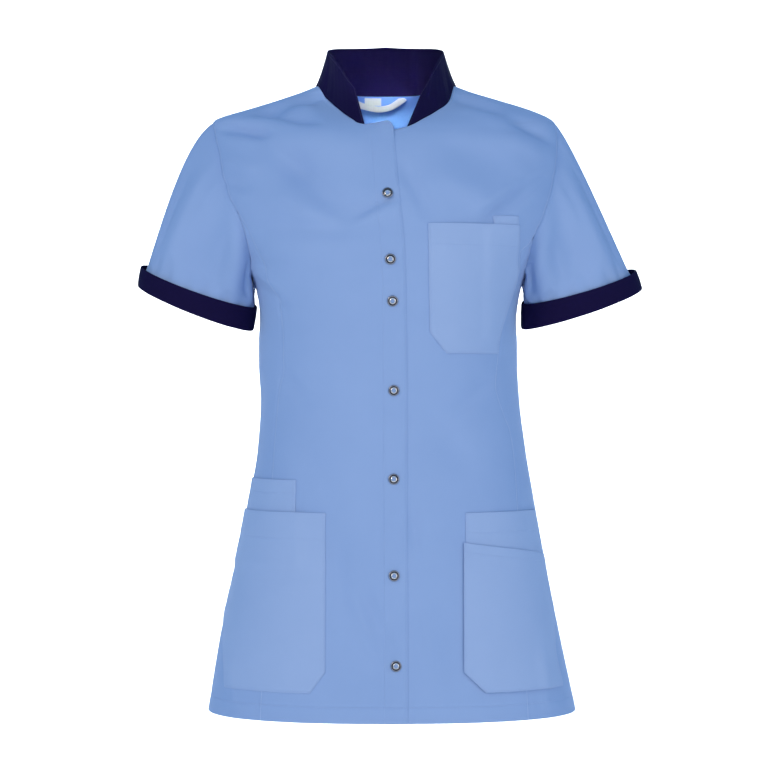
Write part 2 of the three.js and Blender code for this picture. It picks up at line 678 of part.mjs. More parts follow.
const tunic = new THREE.Group();
tunic.add(frontRight(), frontLeft(), sideFront('side_front_right', 'left'), sideFront('side_front_left', 'right'));
tunic.add(backPanel(), sideBack('side_back_right', 'left'), sideBack('side_back_left', 'right'));
tunic.add(sleeve('sleeve_right', 'left'), sleeve('sleeve_left', 'right'));
tunic.add(cuff('cuff_right', 'left'), cuff('cuff_left', 'right'));
tunic.add(collar());
tunic.add(hipPocketRight(), smallPocketRight(), hipPocketLeft(), hipPocketLeftFront());
tunic.add(chestPocket(), penPocket());
SNAPS.forEach((z, k) => tunic.add(snap(`snap_${k + 1}`, z)));
tunic.add(hangerLoop(), neckLabel());

export default tunic;
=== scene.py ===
import math

import bpy
import numpy as np
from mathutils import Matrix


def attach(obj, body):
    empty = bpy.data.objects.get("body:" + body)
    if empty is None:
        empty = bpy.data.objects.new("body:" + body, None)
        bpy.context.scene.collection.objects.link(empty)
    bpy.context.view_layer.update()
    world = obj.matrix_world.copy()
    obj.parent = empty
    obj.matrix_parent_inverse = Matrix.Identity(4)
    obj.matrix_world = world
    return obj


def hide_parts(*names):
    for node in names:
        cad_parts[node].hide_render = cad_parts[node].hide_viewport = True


# A short sleeved medical tunic in its worn shape. Sizes are in millimetres until a mesh is made.
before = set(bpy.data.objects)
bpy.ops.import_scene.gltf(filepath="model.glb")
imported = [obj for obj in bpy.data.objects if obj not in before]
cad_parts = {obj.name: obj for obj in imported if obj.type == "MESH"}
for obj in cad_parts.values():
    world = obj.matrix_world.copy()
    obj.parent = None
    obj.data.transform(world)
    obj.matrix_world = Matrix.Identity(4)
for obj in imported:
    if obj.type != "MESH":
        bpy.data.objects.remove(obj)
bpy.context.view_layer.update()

# Driving sizes
CLOTH = 0.9
SEAM_GAP = 0.3
LAYER = 0.45
HEM_Z = -737.0
NECK_Z = 1.0
SHOULDER_Z = -42.0
UNDERARM_Z = -225.0
FRONT_LAP = 26.0
SNAP_DIAMETER = 12.8
SNAP_HOLE = 5.0
TAPE_WIDTH = 8.0
GRID = 3.6
STITCH_IN = 1.8
STITCH_PITCH = 3.1
STITCH_LENGTH = 2.3
STITCH_WIDTH = 0.55
STITCH_LIFT = 0.12
HEM_DEPTH = 18.0
PLACKET = 27.0
CUFF_DEPTH = 41.8
SLEEVE_DEPTH = 38.9
CUFF_DIP = 9.0
CUFF_Y = -6.0
CUFF_HEIGHT = 28.0
CUFF_THICK = 1.3
COLLAR_CENTRE = -5.0
COLLAR_THICK = 1.6
FRONT_FOLD_DEPTH = 1.7
SLEEVE_FOLD_DEPTH = 1.5
DENT_DEPTH = 1.7
ARMHOLE_RIDGE = 0.3
HEM_EXTRA = 0.5
POCKET_HEM_EXTRA = 0.3
SLEEVE_LENGTH = 170.0
CUFF_SEGMENTS = 128
CUFF_STEP = 2.4
SNAP_SEGMENTS = 48
EDGE_TOP = -60.0
ARMHOLE_TURN_Z = -219.0
NECK_DROP = 3.6
NECK_DROP_FOOT = -26.0
LABEL_ENDS = (-26, -6)

# Patch pockets: heights of the foot and of the mouth, and the depth of the mouth's hem
HIP_RIGHT = (-704.0, -500.0, 30.0)
SMALL_RIGHT = (-555.0, -463.0, 15.0)
HIP_LEFT = (-704.0, -500.0, 24.0)
HIP_LEFT_FRONT = (-704.0, -534.0, 12.0)
CHEST = (-317.0, -169.0, 24.0)
PEN = (-285.0, -159.0, 15.0)

# Cut corners of the pockets: heights of their start and end
FOOT_CORNER = (-680, -704)
CHEST_CORNER = (-293, -317)

# Level sections of the body: height, half widths left and right, depths to front and back, and the
# power of the rounded section
RINGS = {
    "columns": ("z", "left", "right", "front", "back", "power"),
    "rows": (
        (8, 70, 70, 22, 60, 2),
        (1, 84, 84, 28, 66, 2),
        (-5, 99, 100, 31, 70, 2),
        (-14, 125, 130, 38, 76, 2),
        (-24, 157, 163, 49, 82, 2),
        (-33, 188, 187, 63, 87, 2),
        (-38, 202, 196, 70, 89.5, 2),
        (-42, 206, 200.5, 76, 91.5, 2),
        (-52, 206.2, 204, 89, 95.5, 2),
        (-66, 206.4, 207, 101, 100, 2.05),
        (-90, 206.8, 208.3, 112, 106, 2.1),
        (-110, 207, 209, 119, 109.5, 2.15),
        (-130, 204, 208.5, 126, 111.5, 2.2),
        (-155, 193, 202.5, 132, 112.5, 2.25),
        (-176, 182, 192, 135, 111.5, 2.3),
        (-196, 171, 180, 137, 109.5, 2.3),
        (-219, 161, 167.5, 137, 106.5, 2.3),
        (-240, 154.5, 160, 135, 103.5, 2.3),
        (-262, 150.5, 156, 132, 101, 2.3),
        (-280, 149.8, 154.5, 129, 99.5, 2.3),
        (-297, 151, 155.5, 127, 98.5, 2.3),
        (-328, 151.1, 155.9, 123.5, 98, 2.3),
        (-371, 148.8, 158.3, 120.5, 100.5, 2.3),
        (-428, 152.3, 165.4, 121, 108, 2.3),
        (-485, 161.8, 174.9, 125, 117, 2.3),
        (-557, 176.1, 188, 131.5, 126.5, 2.3),
        (-642, 195.2, 204.7, 139, 135, 2.3),
        (-737, 211, 225, 146, 142, 2.3),
    ),
}

# Seam lines: distance from the middle plane at each height
ARMHOLE = {
    -1: ((-42, 206), (-64, 201), (-85, 195), (-110, 191), (-131, 184), (-155, 172), (-176, 165),
         (-196, 159.5), (-219, 156)),
    1: ((-42, 200.5), (-67, 203), (-94, 200), (-126, 193.5), (-143, 188), (-162, 181), (-176, 174),
        (-196, 167.5), (-219, 162)),
}
PRINCESS = {
    -1: ((-150, 174), (-160, 168.8), (-175, 160.4), (-203, 145), (-233, 135.5), (-263, 124), (-302, 120),
         (-329, 120), (-352, 124), (-380, 127), (-413, 130), (-460, 133), (-737, 146)),
    1: ((-180, 172.5), (-190, 166), (-198, 156.5), (-235, 152), (-267, 142), (-296, 134), (-319, 131),
        (-353, 128.5), (-388, 138), (-406, 145), (-446, 151), (-491, 153.5), (-737, 165)),
}
PRINCESS_TOP = {-1: -150.0, 1: -180.0}
BACK_SEAM = {
    -1: ((-150, 174), (-160, 168.6), (-175, 158), (-190, 145), (-213, 127), (-240, 111), (-265, 100),
         (-300, 92), (-328, 91), (-362, 94), (-410, 101), (-470, 109), (-560, 119), (-737, 134)),
    1: ((-150, 185.6), (-160, 180.3), (-175, 168), (-190, 153.5), (-213, 134), (-240, 117), (-265, 105),
        (-300, 97), (-328, 96), (-362, 99), (-410, 106), (-470, 115), (-560, 125), (-737, 141)),
}
BACK_SEAM_TOP = -150.0
NECKLINE = {
    -1: ((1, -80.5), (-18, -68), (-34, -53), (-45.6, -39), (-53.2, -25), (-54.2, 2.5), (-60, 8.3)),
    1: ((1, 80.5), (-21, 73), (-34, 58.5), (-45, 42), (-55, 24.6), (-60, 5), (-66, -15)),
}
FRONT_EDGE = ((-60, 8.3), (-73, 10), (-107, 13.2), (-155, 17.5), (-190, 20.9), (-246, 23), (-315, 24),
              (-427, 24.4), (-737, 25.4))
CHEST_OUTER = ((-159, 152.5), (-191, 153), (-203, 151), (-235, 149), (-267, 139.5), (-296, 131.5),
               (-319, 128.5))

# Collar stations: turn around the neck at its base, then turn, reach and height of its top edge
COLLAR = {
    -1: ((14, 27.5, 74.3, -9), (28, 39.9, 71.7, 6), (43, 55, 68, 22), (66, 75.3, 67, 36),
         (93, 97.3, 70.6, 45), (131, 131, 72, 52), (180, 180, 65, 56)),
    1: ((14, 31.5, 76, -15), (28, 43, 72.5, 2), (43, 57, 68.5, 19), (66, 75.3, 67, 34),
        (93, 97.3, 69.6, 44), (131, 131, 72, 52), (180, 180, 65, 56)),
}

# Sleeves: outer and inner ends of the sleeve's own edge and of the cuff's two edges, in the front view,
# how far the sleeve leaves the shoulder, how far it hangs and the way it points
SLEEVES = {
    -1: {"end": ((283, -212), (156.8, -264)), "top": ((291, -212), (152.9, -260.5)),
         "bottom": ((295, -235), (157.4, -288)), "leave": (96, 56), "hang": 190, "axis": (0.3, 0.95)},
    1: {"end": ((288, -219), (165, -259)), "top": ((297, -217), (160.6, -256)),
        "bottom": ((304, -239), (160, -286)), "leave": (58, 60), "hang": 163, "axis": (0.42, 0.91)},
}

# Ring snaps: height and distance from the middle
SNAPS = ((-134.5, 1.7), (-210.4, 4.9), (-257.6, 7.4), (-359.5, 8.8), (-460.9, 8.8), (-570.5, 9.1),
         (-672.4, 11.3))

# Hanger tape: place, height and distance off the cloth
TAPE = ((-46, -3.5, 0.8), (-38, -6.2, 1.4), (-28, -9.8, 2.3), (-8, -14, 2.3), (4, -12.1, 1.9),
        (14, -6.2, 1.5), (24, 1.2, 0.3))

# Soft folds of the body: both ends (x, z) of a line, then the width and height of the ridge along it.
# A negative height is a trough.
FRONT_FOLDS = {
    "columns": ("x0", "z0", "x1", "z1", "width", "height"),
    "rows": (
        (-158, -32, -72, -13, 6, -4.2),
        (-150, -27, -84, -48, 6.5, -4.4),
        (-128, -18, -84, -30, 5.5, 1.8),
        (-200, -50, -140, -57, 7, -4),
        (-160, -52, -96, -112, 17, -4.6),
        (-114, -94, -32, -166, 18, -4.8),
        (-92, -58, -26, -86, 20, 2.6),
        (-190, -86, -150, -104, 8, 1.8),
        (-190, -117, -158, -126, 5.5, -2.0),
        (-128, -136, -66, -166, 13, 2.2),
        (-34, -157, 12, -137, 5.5, -2.2),
        (-34, -168, 10, -149, 5.5, 1.3),
        (-156, -168, -50, -178, 10, -2.4),
        (-154, -192, -84, -206, 12, 1.8),
        (-160, -212, -120, -244, 6, 1.7),
        (-152, -234, -114, -266, 6, -1.6),
        (78, -13, 140, -33, 6.5, -3.8),
        (86, -28, 134, -46, 8, 1.5),
        (148, -42, 200, -68, 7, -3.8),
        (138, -64, 186, -86, 9, 1.6),
        (60, -72, 140, -100, 18, -2.6),
        (18, -100, 52, -162, 9, -2.6),
        (56, -112, 120, -144, 16, 2.4),
        (112, -166, 158, -132, 7, -2.8),
        (104, -150, 150, -122, 7, 1.6),
        (150, -134, 192, -106, 7, -1.8),
        (164, -196, 140, -240, 6, 1.6),
        (-124, -336, -90, -378, 9, -1.7),
        (-112, -366, -72, -388, 9, 1.2),
        (122, -350, 78, -382, 9, -1.6),
        (112, -378, 66, -402, 9, 1.1),
        (56, -398, 98, -452, 20, -2.4),
        (-92, -430, -60, -500, 20, -2.0),
        (31, -496, 34, -544, 6, -1.6),
        (-60, -540, -42, -620, 12, -2.2),
        (-30, -586, 6, -660, 9, -1.9),
        (-46, -580, -8, -654, 9, 1.5),
        (-35, -640, 20, -704, 22, -2.2),
        (40, -596, 60, -706, 13, 1.6),
        (-182, -654, -172, -734, 7, 1.5),
        (178, -658, 188, -734, 7, 1.5),
    ),
}
BACK_FOLDS = {
    "columns": ("x0", "z0", "x1", "z1", "width", "height"),
    "rows": (
        (-160, -60, -90, -100, 10, -1.8),
        (-150, -82, -60, -128, 13, 2.0),
        (158, -62, 84, -96, 10, -1.7),
        (150, -90, 62, -122, 13, 1.8),
        (-120, -130, -40, -190, 20, 2.0),
        (115, -118, 50, -185, 18, 2.2),
        (-168, -150, -110, -196, 8, -1.6),
        (172, -146, 118, -190, 8, -1.5),
        (-156, -204, -112, -238, 8, 1.3),
        (158, -200, 116, -242, 8, 1.2),
        (-30, -70, 36, -78, 9, -1.1),
        (-84, -300, -10, -318, 9, -1.5),
        (-90, -330, 0, -350, 14, 1.7),
        (95, -318, 14, -336, 9, -1.4),
        (92, -345, 8, -366, 13, 1.5),
        (-70, -372, -16, -384, 10, -1.2),
        (70, -384, 18, -398, 10, -1.1),
        (-60, -540, -82, -722, 20, 2.4),
        (-20, -575, -26, -728, 16, -1.9),
        (28, -560, 34, -728, 15, 1.6),
        (72, -570, 92, -726, 20, -2.2),
        (-128, -600, -150, -726, 14, -1.5),
        (128, -590, 152, -726, 14, 1.5),
    ),
}

# Soft folds of the sleeves: turn, place along the sleeve, width, length and height
SLEEVE_FOLDS = {
    "columns": ("turn", "along", "width", "length", "height"),
    "rows": (
        (48, 0.62, 13, 0.4, 3.8),
        (84, 0.5, 15, 0.45, -4.1),
        (122, 0.55, 14, 0.4, 3.5),
        (300, 0.6, 16, 0.42, 3.2),
        (262, 0.5, 15, 0.4, -3.5),
        (24, 0.66, 7, 0.34, -1.7),
        (66, 0.3, 7, 0.24, 1.4),
        (103, 0.66, 6, 0.3, -1.6),
        (142, 0.42, 6, 0.3, -2.3),
        (156, 0.5, 5, 0.34, 1.9),
        (170, 0.44, 5, 0.3, -1.7),
        (204, 0.46, 7, 0.32, 1.9),
        (222, 0.5, 7, 0.32, -2),
        (282, 0.34, 8, 0.26, 1.6),
        (332, 0.66, 8, 0.32, -1.7),
    ),
}

# Small dents of the sleeve where the cuff holds it: turn, width and depth
CUFF_DENTS = ((34, 4, 0.9), (52, 5, 1.2), (77, 4, 1.0), (96, 5, 1.3), (118, 4, 0.9), (139, 5, 1.2),
              (160, 4, 0.8), (201, 5, 1.1), (226, 4, 0.9), (251, 5, 1.2), (275, 4, 0.8), (301, 5, 1.1),
              (327, 4, 0.9))


def smooth_curve(points, column=1):
    """Smooth curve through the points, cubic between them and never past them."""
    data = np.array(sorted(points), float)
    xs, ys = data[:, 0], data[:, column]
    step = np.diff(xs)
    rise = np.diff(ys) / step
    slope = np.zeros(len(xs))
    slope[0], slope[-1] = rise[0], rise[-1]
    a = 2 * step[1:] + step[:-1]
    b = step[1:] + 2 * step[:-1]
    same = rise[:-1] * rise[1:] > 0
    low = np.where(same, rise[:-1], 1.0)
    high = np.where(same, rise[1:], 1.0)
    slope[1:-1] = np.where(same, (a + b) / (a / low + b / high), 0.0)

    def value(x):
        x = np.clip(np.asarray(x, float), xs[0], xs[-1])
        i = np.clip(np.searchsorted(xs, x, side="right") - 1, 0, len(step) - 1)
        t = (x - xs[i]) / step[i]
        return (ys[i] * (1 + 2 * t) * (1 - t) ** 2 + slope[i] * step[i] * t * (1 - t) ** 2
                + ys[i + 1] * t * t * (3 - 2 * t) + slope[i + 1] * step[i] * t * t * (t - 1))

    return value


RING = {name: smooth_curve(RINGS["rows"], k) for k, name in enumerate(RINGS["columns"]) if k}
ARMHOLE_X = {s: smooth_curve(p) for s, p in ARMHOLE.items()}
PRINCESS_X = {s: smooth_curve(p) for s, p in PRINCESS.items()}
NECK_X = {s: smooth_curve(p) for s, p in NECKLINE.items()}
EDGE_X = smooth_curve(FRONT_EDGE)
BACK_X = {s: smooth_curve(p) for s, p in BACK_SEAM.items()}
CHEST_X = smooth_curve(CHEST_OUTER)


def smooth_step(x, a, b):
    """Smooth rise from 0 at a to 1 at b: t^2 * (3 - 2t)."""
    t = np.clip((x - a) / (b - a), 0, 1)
    return t * t * (3 - 2 * t)


def mix(a, b, t):
    return a + (b - a) * t


def hump(x, width):
    """Rounded bump: exp(-(x / width)^2)."""
    return np.exp(-((x / width) ** 2))


def run_length(points):
    """Distance of each point of a run from its first point."""
    return np.concatenate([[0], np.cumsum(np.linalg.norm(np.diff(points, axis=0), axis=-1))])


def unit(v):
    return v / np.maximum(np.linalg.norm(v, axis=-1, keepdims=True), 1e-9)


def ring_point(turn, z):
    """Body surface: reach = (|cos/depth|^n + |sin/width|^n)^(-1/n) at each turn and height."""
    turn, z = np.broadcast_arrays(np.asarray(turn, float), np.asarray(z, float))
    s, c = np.sin(turn), np.cos(turn)
    n = RING["power"](z)
    wide = np.where(s < 0, RING["left"](z), RING["right"](z))
    deep = np.where(c > 0, RING["front"](z), RING["back"](z))
    reach = (np.abs(c / deep) ** n + np.abs(s / wide) ** n) ** (-1 / n)
    return np.stack([reach * s, -reach * c, z], -1)


def ring_normal(turn, z):
    """Cross product of the surface's steps around and up."""
    across = ring_point(turn + 0.002, z) - ring_point(turn - 0.002, z)
    up = ring_point(turn, z + 0.6) - ring_point(turn, z - 0.6)
    return unit(np.cross(across, up))


def line_folds(table, x, z):
    """Sum of long folds that fade at both ends: height * exp(-(aside/width)^2 - ((along - 1/2)/0.52)^4)."""
    total = np.zeros(np.broadcast(x, z).shape)
    for x0, z0, x1, z1, width, height in table["rows"]:
        dx, dz = x1 - x0, z1 - z0
        size = math.hypot(dx, dz)
        along = ((x - x0) * dx + (z - z0) * dz) / size**2
        aside = ((x - x0) * dz - (z - z0) * dx) / size
        total += height * np.exp(-((aside / width) ** 2) - (((along - 0.5) / 0.52) ** 4))
    return total


def body_point(turn, z, out=0.0):
    """Ring surface moved along its normal by the folds and the distance out."""
    p = ring_point(turn, z)
    front = np.cos(turn) > 0
    fold = np.where(front, FRONT_FOLD_DEPTH * line_folds(FRONT_FOLDS, p[..., 0], p[..., 2]),
                    line_folds(BACK_FOLDS, p[..., 0], p[..., 2]))
    side = smooth_step(np.abs(np.cos(turn)), 0.0, 0.25)
    return p + ring_normal(turn, z) * (fold * side + out)[..., None]


def turn_at(x, z, back=False):
    """Turn of the front or back surface at a distance from the middle plane."""
    n = RING["power"](z)
    wide = np.where(np.asarray(x) < 0, RING["left"](z), RING["right"](z))
    deep = RING["back"](z) if back else RING["front"](z)
    part = np.minimum(1.0, np.abs(x) / wide)
    y = deep * (1 - part**n) ** (1 / n)
    return np.arctan2(x, -y if back else y)


def outer_turn(side, z, back=False):
    """Outer limit of the body panels: armhole, side seam or shoulder seam."""
    z = np.asarray(z, float)
    square = side * math.pi / 2
    low = ARMHOLE_TURN_Z
    height = np.clip(z, low, SHOULDER_Z)
    at = turn_at(side * ARMHOLE_X[side](height), height, back)
    part = np.sqrt(np.clip((z - UNDERARM_Z) / (low - UNDERARM_Z), 0, 1))
    inside = np.where(z >= low, at, square + (at - square) * part)
    return np.where((z <= UNDERARM_Z) | (z >= SHOULDER_Z), square, inside)


def panel_turn(side, z):
    """Seam between the middle and side panels of the front, or the armhole above it."""
    z = np.asarray(z, float)
    return np.where(z >= PRINCESS_TOP[side], outer_turn(side, z), turn_at(side * PRINCESS_X[side](z), z))


def back_turn(side, z):
    """Seam between the middle and side panels of the back, or the armhole above it."""
    z = np.asarray(z, float)
    return np.where(z >= BACK_SEAM_TOP, outer_turn(side, z, True), turn_at(side * BACK_X[side](z), z, True))


def seam_turn(turn, z):
    """Turn that takes up half of a seam's gap."""
    p = ring_point(turn, z)
    return SEAM_GAP / 2 / np.hypot(p[..., 0], p[..., 1])


# Meshes

def add_object(name, data):
    thing = bpy.data.objects.new(name, data)
    bpy.context.scene.collection.objects.link(thing)
    return thing


def grid_quads(index):
    """Four-sided faces between the rows and columns of a grid of point numbers."""
    return np.stack([index[:-1, :-1], index[:-1, 1:], index[1:, 1:], index[1:, :-1]], -1).reshape(-1, 4)


def new_piece(name, points, quads, look, uv=None):
    """Mesh object from points in millimetres and four-sided faces, turned to face outwards."""
    a, b, c, d = (points[quads[:, k]] for k in range(4))
    volume = np.einsum("ij,ij->i", a, np.cross(b, c)).sum() + np.einsum("ij,ij->i", a, np.cross(c, d)).sum()
    if volume < 0:
        quads = quads[:, ::-1]
    mesh = bpy.data.meshes.new(name)
    mesh.vertices.add(len(points))
    mesh.vertices.foreach_set("co", (points / 1000.0).astype(np.float32).ravel())
    mesh.loops.add(quads.size)
    mesh.loops.foreach_set("vertex_index", quads.astype(np.int32).ravel())
    mesh.polygons.add(len(quads))
    mesh.polygons.foreach_set("loop_start", np.arange(0, quads.size, 4, dtype=np.int32))
    mesh.update(calc_edges=True)
    mesh.polygons.foreach_set("use_smooth", np.ones(len(mesh.polygons), bool))
    if uv is not None:
        layer = mesh.uv_layers.new(name="weave")
        layer.data.foreach_set("uv", (uv[quads.ravel()] / 1000.0).astype(np.float32).ravel())
    mesh.materials.append(look)
    piece = add_object(name, mesh)
    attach(piece, "root")
    return piece


def shell(name, outer, normal, look, thick=CLOTH, around=False, uv=None):
    """Closed thin shell: outer = grid, inner = outer - thick * normal, with a rounded rim."""
    nv, nu = outer.shape[:2]
    thick = np.broadcast_to(thick, (nv, nu))
    inner = outer - normal * thick[..., None]
    size = nv * nu
    index = np.arange(size).reshape(nv, nu)
    if around:
        index = np.concatenate([index, index[:, :1]], 1)
    wall = grid_quads(index)
    faces = [wall, wall[:, ::-1] + size]
    top, under = outer.reshape(-1, 3), inner.reshape(-1, 3)
    points = [top, under]
    flat = uv.reshape(-1, 2) if uv is not None else np.zeros((size, 2))
    maps = [flat, flat]
    if around:
        rims = [(index[0, :-1], index[1, :-1]), (index[-1, -2::-1], index[-2, -2::-1])]
    else:
        edge = np.concatenate([index[0, :-1], index[:-1, -1], index[-1, :0:-1], index[:0:-1, 0]])
        near = np.concatenate([index[1, :-1], index[:-1, -2], index[-2, :0:-1], index[:0:-1, 1]])
        rims = [(edge, near)]
    start = 2 * size
    depth = thick.ravel()
    for edge, near in rims:
        away = unit(top[edge] - top[near])
        points.append((top[edge] + under[edge]) / 2 + away * depth[edge][:, None] * 0.35)
        maps.append(flat[edge])
        ring = start + np.arange(len(edge))
        start += len(edge)
        ahead, ring_ahead = np.roll(edge, -1), np.roll(ring, -1)
        faces.append(np.stack([ahead, edge, ring, ring_ahead], -1))
        faces.append(np.stack([ring_ahead, ring, edge + size, ahead + size], -1))
    return new_piece(name, np.concatenate(points), np.concatenate(faces), look, np.concatenate(maps))


# Distances of the close columns beside each seam; the third one carries the stitches
FINE = (0.35, 0.9, STITCH_IN, 3.2)
BEGIN, END = 3, -4
BETWEEN = slice(3, -3)


def column_turns(first, last, z, count):
    """Turns of each row: close together beside both seams, even between."""
    p = ring_point((first + last) / 2, z)
    span = last - first
    width = np.abs(span) * np.hypot(p[..., 0], p[..., 1])
    limit = np.minimum(1.0, width / (4 * FINE[-1]))
    near = np.array([0.0, *FINE])[None, :] * (limit / width)[:, None]
    middle = np.linspace(0, 1, count + 2)[1:-1][None, :]
    inner = mix(near[:, -1:], 1 - near[:, -1:], middle)
    part = np.concatenate([near, inner, 1 - near[:, ::-1]], 1)
    return first[:, None] + span[:, None] * part


def row_heights(low, high, breaks=(), step=GRID):
    """Heights of the rows: even, with close rows at both ends and at the named breaks."""
    stops = sorted({low, high, *[b for b in breaks if low < b < high]})
    out = [low + f for f in FINE] + [high - f for f in FINE] + [high]
    for a, b in zip(stops[:-1], stops[1:]):
        out.extend(np.linspace(a, b, max(1, round((b - a) / step)) + 1)[:-1])
    return np.unique(np.round(out, 3))


def lengths(points):
    """Distance of each point from the first and from the last end of its row."""
    step = np.linalg.norm(np.diff(points, axis=1), axis=-1)
    along = np.concatenate([np.zeros((len(points), 1)), np.cumsum(step, 1)], 1)
    return along, along[:, -1:] - along


def cloth_uv(points):
    """Lengths along the rows, and heights, so that the weave keeps its size."""
    along, _ = lengths(points)
    return np.stack([along - along[:, along.shape[1] // 2][:, None], points[..., 2]], -1)


def ripple(s, phase):
    """Uneven waves along a seam: two sines whose lengths don't share a step."""
    return 0.6 * np.sin(s * 2 * math.pi / 11.7 + phase) + 0.4 * np.sin(s * 2 * math.pi / 18.9 + 1.7 * phase)


def seam_shape(distance, z, roll=0.5, ridge=0.0, pucker=0.16, phase=0.0):
    """Cloth beside a sewn edge, with d its distance: it turns in at the edge, dips at the stitches, ripples,
    and lies higher over the seam allowance: -roll * exp(-(d/1.3)^2) - 0.2 * exp(-((d-1.8)/0.8)^2) + ridge."""
    shape = -roll * hump(distance, 1.3) - 0.2 * hump(distance - STITCH_IN, 0.8)
    shape = shape + ridge * (1 - smooth_step(distance, 5.0, 8.5))
    return shape + pucker * ripple(z, phase) * hump(distance, 7.0)


def long_seam(z):
    """Roll of the long seams: firm above the pockets, pressed flat towards the hem."""
    return 0.12 + 0.33 * smooth_step(z, -620, -480)


def hem_shape(x, z, phase=0.0):
    """Turned hem: higher below its stitches, a dip along them and small puckers around them."""
    far = z - (HEM_Z + HEM_DEPTH)
    shape = 0.15 * (1 - smooth_step(far, -1.5, 0.5)) - 0.12 * hump(far, 1.1)
    return shape + 0.3 * ripple(x * 0.9, phase) * hump(far, 9.0)


# Sewing: the runs of stitches of a piece are kept here until the piece is made
RUNS = []


def sew(points, normal, look, pick=..., lift=STITCH_LIFT):
    """Keep the picked rows or columns of a grid as a run of stitches, a little above the cloth."""
    RUNS.append((points[pick] + normal[pick] * lift, normal[pick], look))


def read_run(values, step, at):
    """Values of a run at the given distances along it."""
    return np.stack([np.interp(at, step, values[:, k]) for k in range(3)], -1)


def stitch_piece(name, runs, look):
    """Stitches at even steps along their runs: four rings of four points each, like grains of rice."""
    centres, ways, ups = [], [], []
    for points, normal in runs:
        step = run_length(points)
        count = max(1, int(step[-1] / STITCH_PITCH))
        at = (np.arange(count) + 0.5) * step[-1] / count
        centres.append(read_run(points, step, at))
        ways.append(unit(read_run(points, step, at + 0.6) - read_run(points, step, at - 0.6)))
        ups.append(unit(read_run(normal, step, at)))
    centre, way, up = np.concatenate(centres), np.concatenate(ways), np.concatenate(ups)
    side = unit(np.cross(way, up))
    along = np.array([-0.5, -0.26, 0.26, 0.5]) * STITCH_LENGTH
    size = np.array([0.3, 1.0, 1.0, 0.3]) * STITCH_WIDTH / 2
    lift = np.array([-0.12, 0.06, 0.06, -0.12])
    across = np.array([1.0, 0.0, -1.0, 0.0])
    high = np.array([0.0, 0.8, 0.0, -0.6])
    ring = (centre[:, None, None] + way[:, None, None] * along[None, :, None, None]
            + side[:, None, None] * (size[:, None] * across[None, :])[None, :, :, None]
            + up[:, None, None] * (size[:, None] * high[None, :] + lift[:, None])[None, :, :, None])
    count = len(centre)
    index = np.arange(count * 16).reshape(count, 4, 4)
    nxt = np.roll(index, -1, 2)
    walls = np.stack([index[:, :-1], nxt[:, :-1], nxt[:, 1:], index[:, 1:]], -1).reshape(-1, 4)
    ends = np.concatenate([index[:, 0, ::-1], index[:, 3]])
    return new_piece(name, ring.reshape(-1, 3), np.concatenate([walls, ends]), look)


# Looks

def shader(look, **values):
    """The look's surface node, with the given inputs set."""
    node = look.node_tree.nodes["Principled BSDF"]
    for key, value in values.items():
        node.inputs[key.replace("_", " ")].default_value = value
    return node


def weave_group():
    """Plain weave: crossed sine threads in the cloth's own map, with slow fibre noise; its colour turns
    towards the shade colour in the weave's low parts, as painted shade, and in slow cloudy patches of uneven
    tone.
    """
    group = bpy.data.node_groups.new("plain_weave", "ShaderNodeTree")
    face = group.interface
    for label, value in (("Thread", 0.55), ("Fuzz", 0.3)):
        socket = face.new_socket(name=label, in_out="INPUT", socket_type="NodeSocketFloat")
        socket.default_value = value
    for label in ("Base", "Shade"):
        face.new_socket(name=label, in_out="INPUT", socket_type="NodeSocketColor")
    for label, kind in (("Colour", "Color"), ("Height", "Float"), ("Roughness", "Float")):
        face.new_socket(name=label, in_out="OUTPUT", socket_type=f"NodeSocket{kind}")
    nodes, links = group.nodes, group.links
    given = nodes.new("NodeGroupInput")
    result = nodes.new("NodeGroupOutput")
    place = nodes.new("ShaderNodeUVMap")
    place.uv_map = "weave"
    split = nodes.new("ShaderNodeSeparateXYZ")
    links.new(place.outputs["UV"], split.inputs[0])

    def math_node(kind, a, b=None):
        node = nodes.new("ShaderNodeMath")
        node.operation = kind
        for k, value in enumerate((a, b)):
            if isinstance(value, (int, float)):
                node.inputs[k].default_value = value
            elif value is not None:
                links.new(value, node.inputs[k])
        return node.outputs[0]

    def noise(scale, detail):
        node = nodes.new("ShaderNodeTexNoise")
        node.inputs["Scale"].default_value = scale
        node.inputs["Detail"].default_value = detail
        links.new(where.outputs["Object"], node.inputs["Vector"])
        return node.outputs["Fac"]

    where = nodes.new("ShaderNodeTexCoord")
    fibre, cloud = noise(1100, 3), noise(16, 4)
    rate = math_node("DIVIDE", 2000 * math.pi, given.outputs["Thread"])
    warp = math_node("SINE", math_node("MULTIPLY", split.outputs["X"], rate))
    weft = math_node("SINE", math_node("MULTIPLY", split.outputs["Y"], rate))
    cross = math_node("MULTIPLY", warp, weft)
    fuzz = math_node("MULTIPLY", fibre, given.outputs["Fuzz"])
    height = math_node("ADD", math_node("MULTIPLY", cross, 0.35), fuzz)
    links.new(height, result.inputs["Height"])
    blend = nodes.new("ShaderNodeMix")
    blend.data_type = "RGBA"
    # Painted shade: the lower the weave's height, the more of the shade colour; the cloud noise adds uneven
    # tone.
    dark = math_node("MULTIPLY", math_node("SUBTRACT", 0.35, height), 0.8)
    part = math_node("ADD", math_node("MULTIPLY", cloud, 0.55), dark)
    links.new(part, blend.inputs[0])
    links.new(given.outputs["Base"], blend.inputs[6])
    links.new(given.outputs["Shade"], blend.inputs[7])
    links.new(blend.outputs[2], result.inputs["Colour"])
    rough = math_node("ADD", 0.76, math_node("MULTIPLY", fibre, 0.18))
    links.new(rough, result.inputs["Roughness"])
    return group


WEAVE = weave_group()


def new_look(name):
    look = bpy.data.materials.new(name)
    look.use_nodes = True
    return look, look.node_tree.nodes, look.node_tree.links


